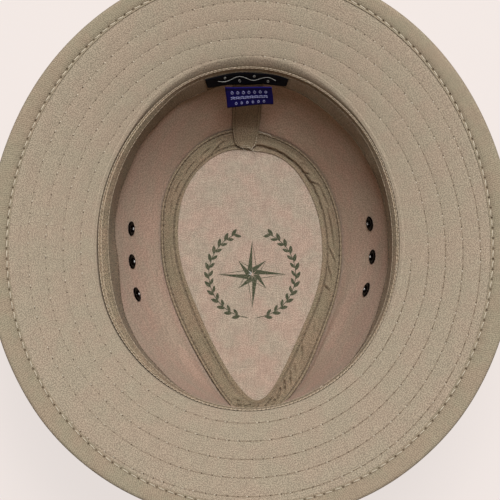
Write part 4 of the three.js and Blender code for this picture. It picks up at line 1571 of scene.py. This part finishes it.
# %% [markdown]
# ## The labels
#
# A black woven label is sewn to the band at the back, and a navy one hangs from its lower edge. The
# black one carries a thin wave with small lozenges beside it, and the navy one two rows of lozenges
# with a zigzag between them, as plain haberdashery labels have. The marks are raised yarn, so they are
# meshes and not a picture, and catch the light like the threads.

# %% The black label


def black_label_point(side, down, lift):
    """A point of the black label: side from -1 to 1 across it, and down from 0 to 1."""
    angle = math.radians(91.3) - side * math.radians(16.9)
    off = 0.45 + 2.6 * down**2 * (1 - side**2) + 0.18 * np.sin(7 * side + 2 * down)
    return free_face(angle, mixed(0.02, 0.60, down) + 0 * angle, off + lift)


side_grid, down_grid = np.meshgrid(np.linspace(-1, 1, 49), np.linspace(0, 1, 15), indexing="ij")
black_piece = flat_piece("black_label_cloth", black_label_point(side_grid, down_grid, 0.6),
                         black_label_point(side_grid, down_grid, 0.0), black_label)
put_on(black_piece, "black_woven", "woven_label")

# %% [markdown]
# The marks are short straight runs of yarn, made like stitches. The wave is a sine curve of many runs,
# and a lozenge has four.

# %% Raised yarn marks


def yarn(name, place, lines, radius, finish):
    """Raised yarn on a label: each line is a list of places on it, joined by short straight runs."""
    starts, ends, ups = [], [], []
    for line in lines:
        points = np.array([place(*spot, 0.02) for spot in line])
        lifted = np.array([place(*spot, 1.0) for spot in line])
        starts.extend(points[:-1])
        ends.extend(points[1:])
        ups.extend((lifted - points)[:-1])
    return sew(name, np.array(starts), np.array(ends), np.array(ups), radius, finish, 0.4)


def lozenge(x, y, wide, high):
    return [(x - wide, y), (x, y - high), (x + wide, y), (x, y + high), (x - wide, y)]


marks = [[(x, 0.5 + 0.17 * math.sin(9 * x)) for x in np.linspace(-0.72, 0.72, 60)]]  # the wave
marks += [lozenge(x, 0.5 - 0.22 * math.sin(9 * x), 0.03, 0.12) for x in (-0.53, -0.18, 0.18, 0.53)]
black_marks = yarn("black_label_yarn", lambda x, y, lift: black_label_point(x, y, 0.6 + lift), marks, 0.15,
                   white_thread)
put_on(black_marks, "black_woven")

# %% [markdown]
# The navy label hangs free, so it follows no other piece. A few rows give the height, the place and the
# swing of its cloth from its sewn edge down, and it curls a little at its sides.

# %% The navy label
# Each row is the place along Y, the height, the middle along X, and how far the sides swing.
navy_rows = np.array([[88.8, 75.6, -0.9, 0.0], [87.6, 72.0, -0.8, 0.1], [84.9, 67.2, -0.3, 0.5],
                      [82.6, 63.0, 0.0, 0.8], [79.8, 58.6, 0.2, 1.1]])


def navy_label_point(side, down, lift):
    spot = down * (len(navy_rows) - 1)
    y, z, middle, swing = (np.interp(spot, np.arange(len(navy_rows)), navy_rows[:, i]) for i in range(4))
    curl = 0.5 * side**2 * down - 0.15 * np.sin(3 * side)
    lift = lift + curl
    x = middle + side * 13.8
    return np.stack([x + 0 * y, y + side * swing - 0.88 * lift, z + 0.47 * lift], -1)


side_grid, down_grid = np.meshgrid(np.linspace(-1, 1, 29), np.linspace(0, 1, 17), indexing="ij")
navy_piece = flat_piece("navy_label_cloth", navy_label_point(side_grid, down_grid, 0.0),
                        navy_label_point(side_grid, down_grid, -0.6), navy_label)
put_on(navy_piece, "navy_satin", "care_label")

marks = [lozenge(x, 0.34, 0.06, 0.07) for x in np.arange(-0.72, 0.73, 0.24)]
marks += [[(x, y), (x + 0.10, y - 0.05), (x + 0.2, y)] for x in np.arange(-0.82, 0.7, 0.2)
          for y in (0.56, 0.64)]
marks += [lozenge(x, 0.84, 0.05, 0.06) for x in np.arange(-0.6, 0.61, 0.24)]
navy_marks = yarn("navy_label_yarn", navy_label_point, marks, 0.2, sky_thread)
put_on(navy_marks, "navy_satin")

# %% [markdown]
# ## The printed ornament
#
# The middle of the tip carries a one-colour print. This one is a plain compass star with a wreath of
# leaves, a common ornament on outdoor clothes. The ink is thin, so it is a mesh of very thin strips that
# follow the cloth, and its finish lets some of the weave through.

# %% The ink


def ink_finish(name, shade):
    finish, tree = new_finish(name)
    coords = add(tree, "ShaderNodeTexCoord").outputs["Object"]
    worn = ramp(tree, noise(tree, coords, 1500, 2.0), 0.42, 0.72)
    colour = blended(tree, calc(tree, "MULTIPLY", worn, 0.4), shade, (0.30, 0.25, 0.18))
    finish_with(tree, colour, bumped(tree, worn, 0.00005), 0.85, 0.1, 0.2)
    return finish


olive_ink = ink_finish("olive_ink", (0.043, 0.052, 0.026))
print_middle = (1.4, -21.7)
print(olive_ink.name, "printed round", print_middle)

# %% A thin strip of ink


def ink_strip(edges):
    """Corner points and faces of a closed thin strip between two lines of places."""
    first, second = (np.array(edge, float) + print_middle for edge in edges)
    rows = []
    for lift in (0.10, -0.05):
        for line in (first, second):
            x, y = line.T
            rows.append(np.stack([x, y, tip_height(x, y) + lift], -1))
    count = len(first)
    points = np.vstack([rows[0], rows[1], rows[3], rows[2]])
    faces = []
    for face in range(4):
        here, there = face * count, (face + 1) % 4 * count
        faces += [[here + i, here + i + 1, there + i + 1, there + i] for i in range(count - 1)]
    faces += [[0, count, 2 * count, 3 * count], [4 * count - 1, 3 * count - 1, 2 * count - 1, count - 1]]
    return points, faces


print("a strip of ink lies", tip_height(*print_middle).round(1), "mm high in the print's middle")

# %% [markdown]
# One half of each point of the star is solid and the other half is an outline, as in an engraving. A leaf
# swells from its stem end and narrows again, along a straight spine.

# %% The star's points and the leaves


def polar(radius, degrees):
    return np.array([radius * math.cos(math.radians(degrees)), radius * math.sin(math.radians(degrees))])


def between(start, end, steps):
    return [mixed(start, end, share) for share in np.linspace(0, 1, steps + 1)]


def star_point(turn, reach, notch, width):
    """A half-filled point of the star: one side solid, the other an outline."""
    tip_at, middle = polar(reach, turn), polar(0.6, turn)
    solid = [between(middle, tip_at, 8), between(polar(notch, turn + width), tip_at - polar(0.1, turn), 8)]
    near, far = polar(notch, turn - width), tip_at
    way = (far - near) / np.linalg.norm(far - near)
    side = np.array([-way[1], way[0]]) * 0.45
    outline = [between(near, far - way * 0.3, 8), between(near + side, far - way * 0.3 + side * 0.3, 8)]
    return [solid, outline]


def leaf(turn, radius, slant, length, width):
    """A leaf whose stem end lies on a circle."""
    root = polar(radius, turn)
    way = polar(1, turn + slant)
    side = np.array([-way[1], way[0]])
    share = np.linspace(0.02, 0.98, 9)
    swell = width * np.sin(math.pi * share) ** 0.8
    spine = root + way * share[:, None] * length
    return [spine - side * swell[:, None], spine + side * swell[:, None]]


print("a leaf has", 2 * len(leaf(0, 27.2, 62, 5.6, 1.15)[0]), "places along its edges")

# %% Print the star and the wreath
strips = []
for quarter in range(4):
    strips += star_point(90 * quarter + 45, 12.5, 4.2, 45)
    strips += star_point(90 * quarter, 21.5, 4.2, 45)
for way in (-1, 1):
    for step in range(13):
        turn = 270 + way * (16 + 11.3 * step)
        strips.append(leaf(turn, 27.2, way * 62, 5.6, 1.15))
        strips.append(leaf(turn + way * 3.5, 27.0, way * 124, 4.6, 0.95))
    stem = np.radians(np.linspace(270 + way * 6, 270 + way * 160, 60))
    strips.append([[(27.0 * math.cos(t), 27.0 * math.sin(t)) for t in stem],
                   [(27.45 * math.cos(t), 27.45 * math.sin(t)) for t in stem]])
points, faces = [], []
for strip in strips:
    more_points, more_faces = ink_strip(strip)
    faces += [[len(points) + i for i in face] for face in more_faces]
    points += more_points.tolist()
mesh = bpy.data.meshes.new("printed_ornament")
mesh.from_pydata((np.array(points) / 1000).tolist(), [], faces)
mesh.materials.append(olive_ink)
tidied = bmesh.new()
tidied.from_mesh(mesh)
bmesh.ops.recalc_face_normals(tidied, faces=tidied.faces)
tidied.to_mesh(mesh)
tidied.free()
ornament = bpy.data.objects.new("printed_ornament", mesh)
bpy.context.scene.collection.objects.link(ornament)
put_on(ornament, "crown_twill")

# %% [markdown]
# ## Loose threads
#
# A used hat has thread ends and lint, mostly round the tongue and along the sewn edge of the band. Each
# is a thin tube along a wandering line. The random numbers have a fixed seed, so every run lays them
# in the same places. One longer end lies along the tape beside the tongue, and its path is listed.

# %% Lay a few thread ends


def thread_tube(line, radius, sides=5):
    """A closed tube along a line of points, tapered to its ends."""
    line = np.array(line)
    along = np.gradient(line, axis=0)
    along /= np.linalg.norm(along, axis=1, keepdims=True)
    wide = np.cross(along, [0, 0, 1.0]) + [1e-6, 0, 0]
    wide /= np.linalg.norm(wide, axis=1, keepdims=True)
    high = np.cross(wide, along)
    turn = np.linspace(0, 2 * math.pi, sides + 1)[None, :, None]
    taper = radius * np.clip(np.sin(math.pi * np.linspace(0.04, 0.96, len(line))) * 3, 0, 1)[:, None, None]
    return line[:, None] + taper * (np.cos(turn) * wide[:, None] + np.sin(turn) * high[:, None])


def thread_end(name, start, way, length, radius, finish, chance):
    """A short wandering thread that lies near its start."""
    steps = 14
    bend = chance.normal(0, 0.35, (steps, 3)).cumsum(axis=0) * np.array([1, 1, 0.25])
    line = start + np.outer(np.linspace(0, length, steps), way) + bend * length / 8
    return sheet_mesh(name, thread_tube(line, radius), ring=False, finish=finish)


chance = np.random.default_rng(7)
ends = []
for share in (-0.9, -0.35, 0.2, 0.55, 0.95):
    start, way = back_tape_point(np.array(share), path[-10], 1.4), np.array([0.75, -0.2, 0.1])
    ends.append(thread_end("end", start, way, 5 + 3 * abs(share), 0.11, cream_thread, chance))
for turn_degrees in (24, 37, 52, 68, 118, 131, 146, 171, 203, 231, 249, 262, 285, 301, 333, 352):
    turn = math.radians(turn_degrees + chance.uniform(-4, 4))
    start = roll_face(turn, 0.25, 0.5)
    way = np.array([-math.sin(turn), math.cos(turn), 0.05]) * chance.choice([-1, 1])
    ends.append(thread_end("end", start, way, chance.uniform(1.5, 4.5), 0.12, white_thread, chance))
lying = [tape_over(math.radians(turn), share, 0.5) for turn, share in
         ((84, 0.04), (82, 0.0), (80, 0.0), (78, 0.03), (76, 0.0), (74.5, 0.06), (73.5, 0.14))]
ends.append(sheet_mesh("end", thread_tube(rounded_path(lying, 4), 0.2), ring=False, finish=white_thread))
loose = joined("loose_threads", ends)
put_on(loose, "tape")

# %% [markdown]
# ## The floor
#
# The hat lies on a plain pale sheet, lit from below like a light table, so the hat's shadow on it stays
# faint, as in the photograph. It is much larger than the view, so no edge shows from any side.

# %% Lay the floor
floor_mesh = bpy.data.meshes.new("floor")
floor_mesh.from_pydata([(-4, -4, -0.0003), (4, -4, -0.0003), (4, 4, -0.0003), (-4, 4, -0.0003)], [],
                       [(0, 1, 2, 3)])
floor = bpy.data.objects.new("floor", floor_mesh)
bpy.context.scene.collection.objects.link(floor)
paper, tree = new_finish("floor_paper")
coords = add(tree, "ShaderNodeTexCoord").outputs["Object"]
fibre = noise(tree, coords, 60, 2.0)
finish_with(tree, blended(tree, fibre, (0.118, 0.098, 0.090), (0.122, 0.102, 0.094)),
            bumped(tree, fibre, 0.00002), 0.95, 0.0, 0.0)
for surface in tree.nodes:
    if surface.type == "BSDF_PRINCIPLED":
        surface.inputs["Emission Color"].default_value = (0.980, 0.905, 0.872, 1)
        surface.inputs["Emission Strength"].default_value = 0.78
floor_mesh.materials.append(paper)
print("floor laid")
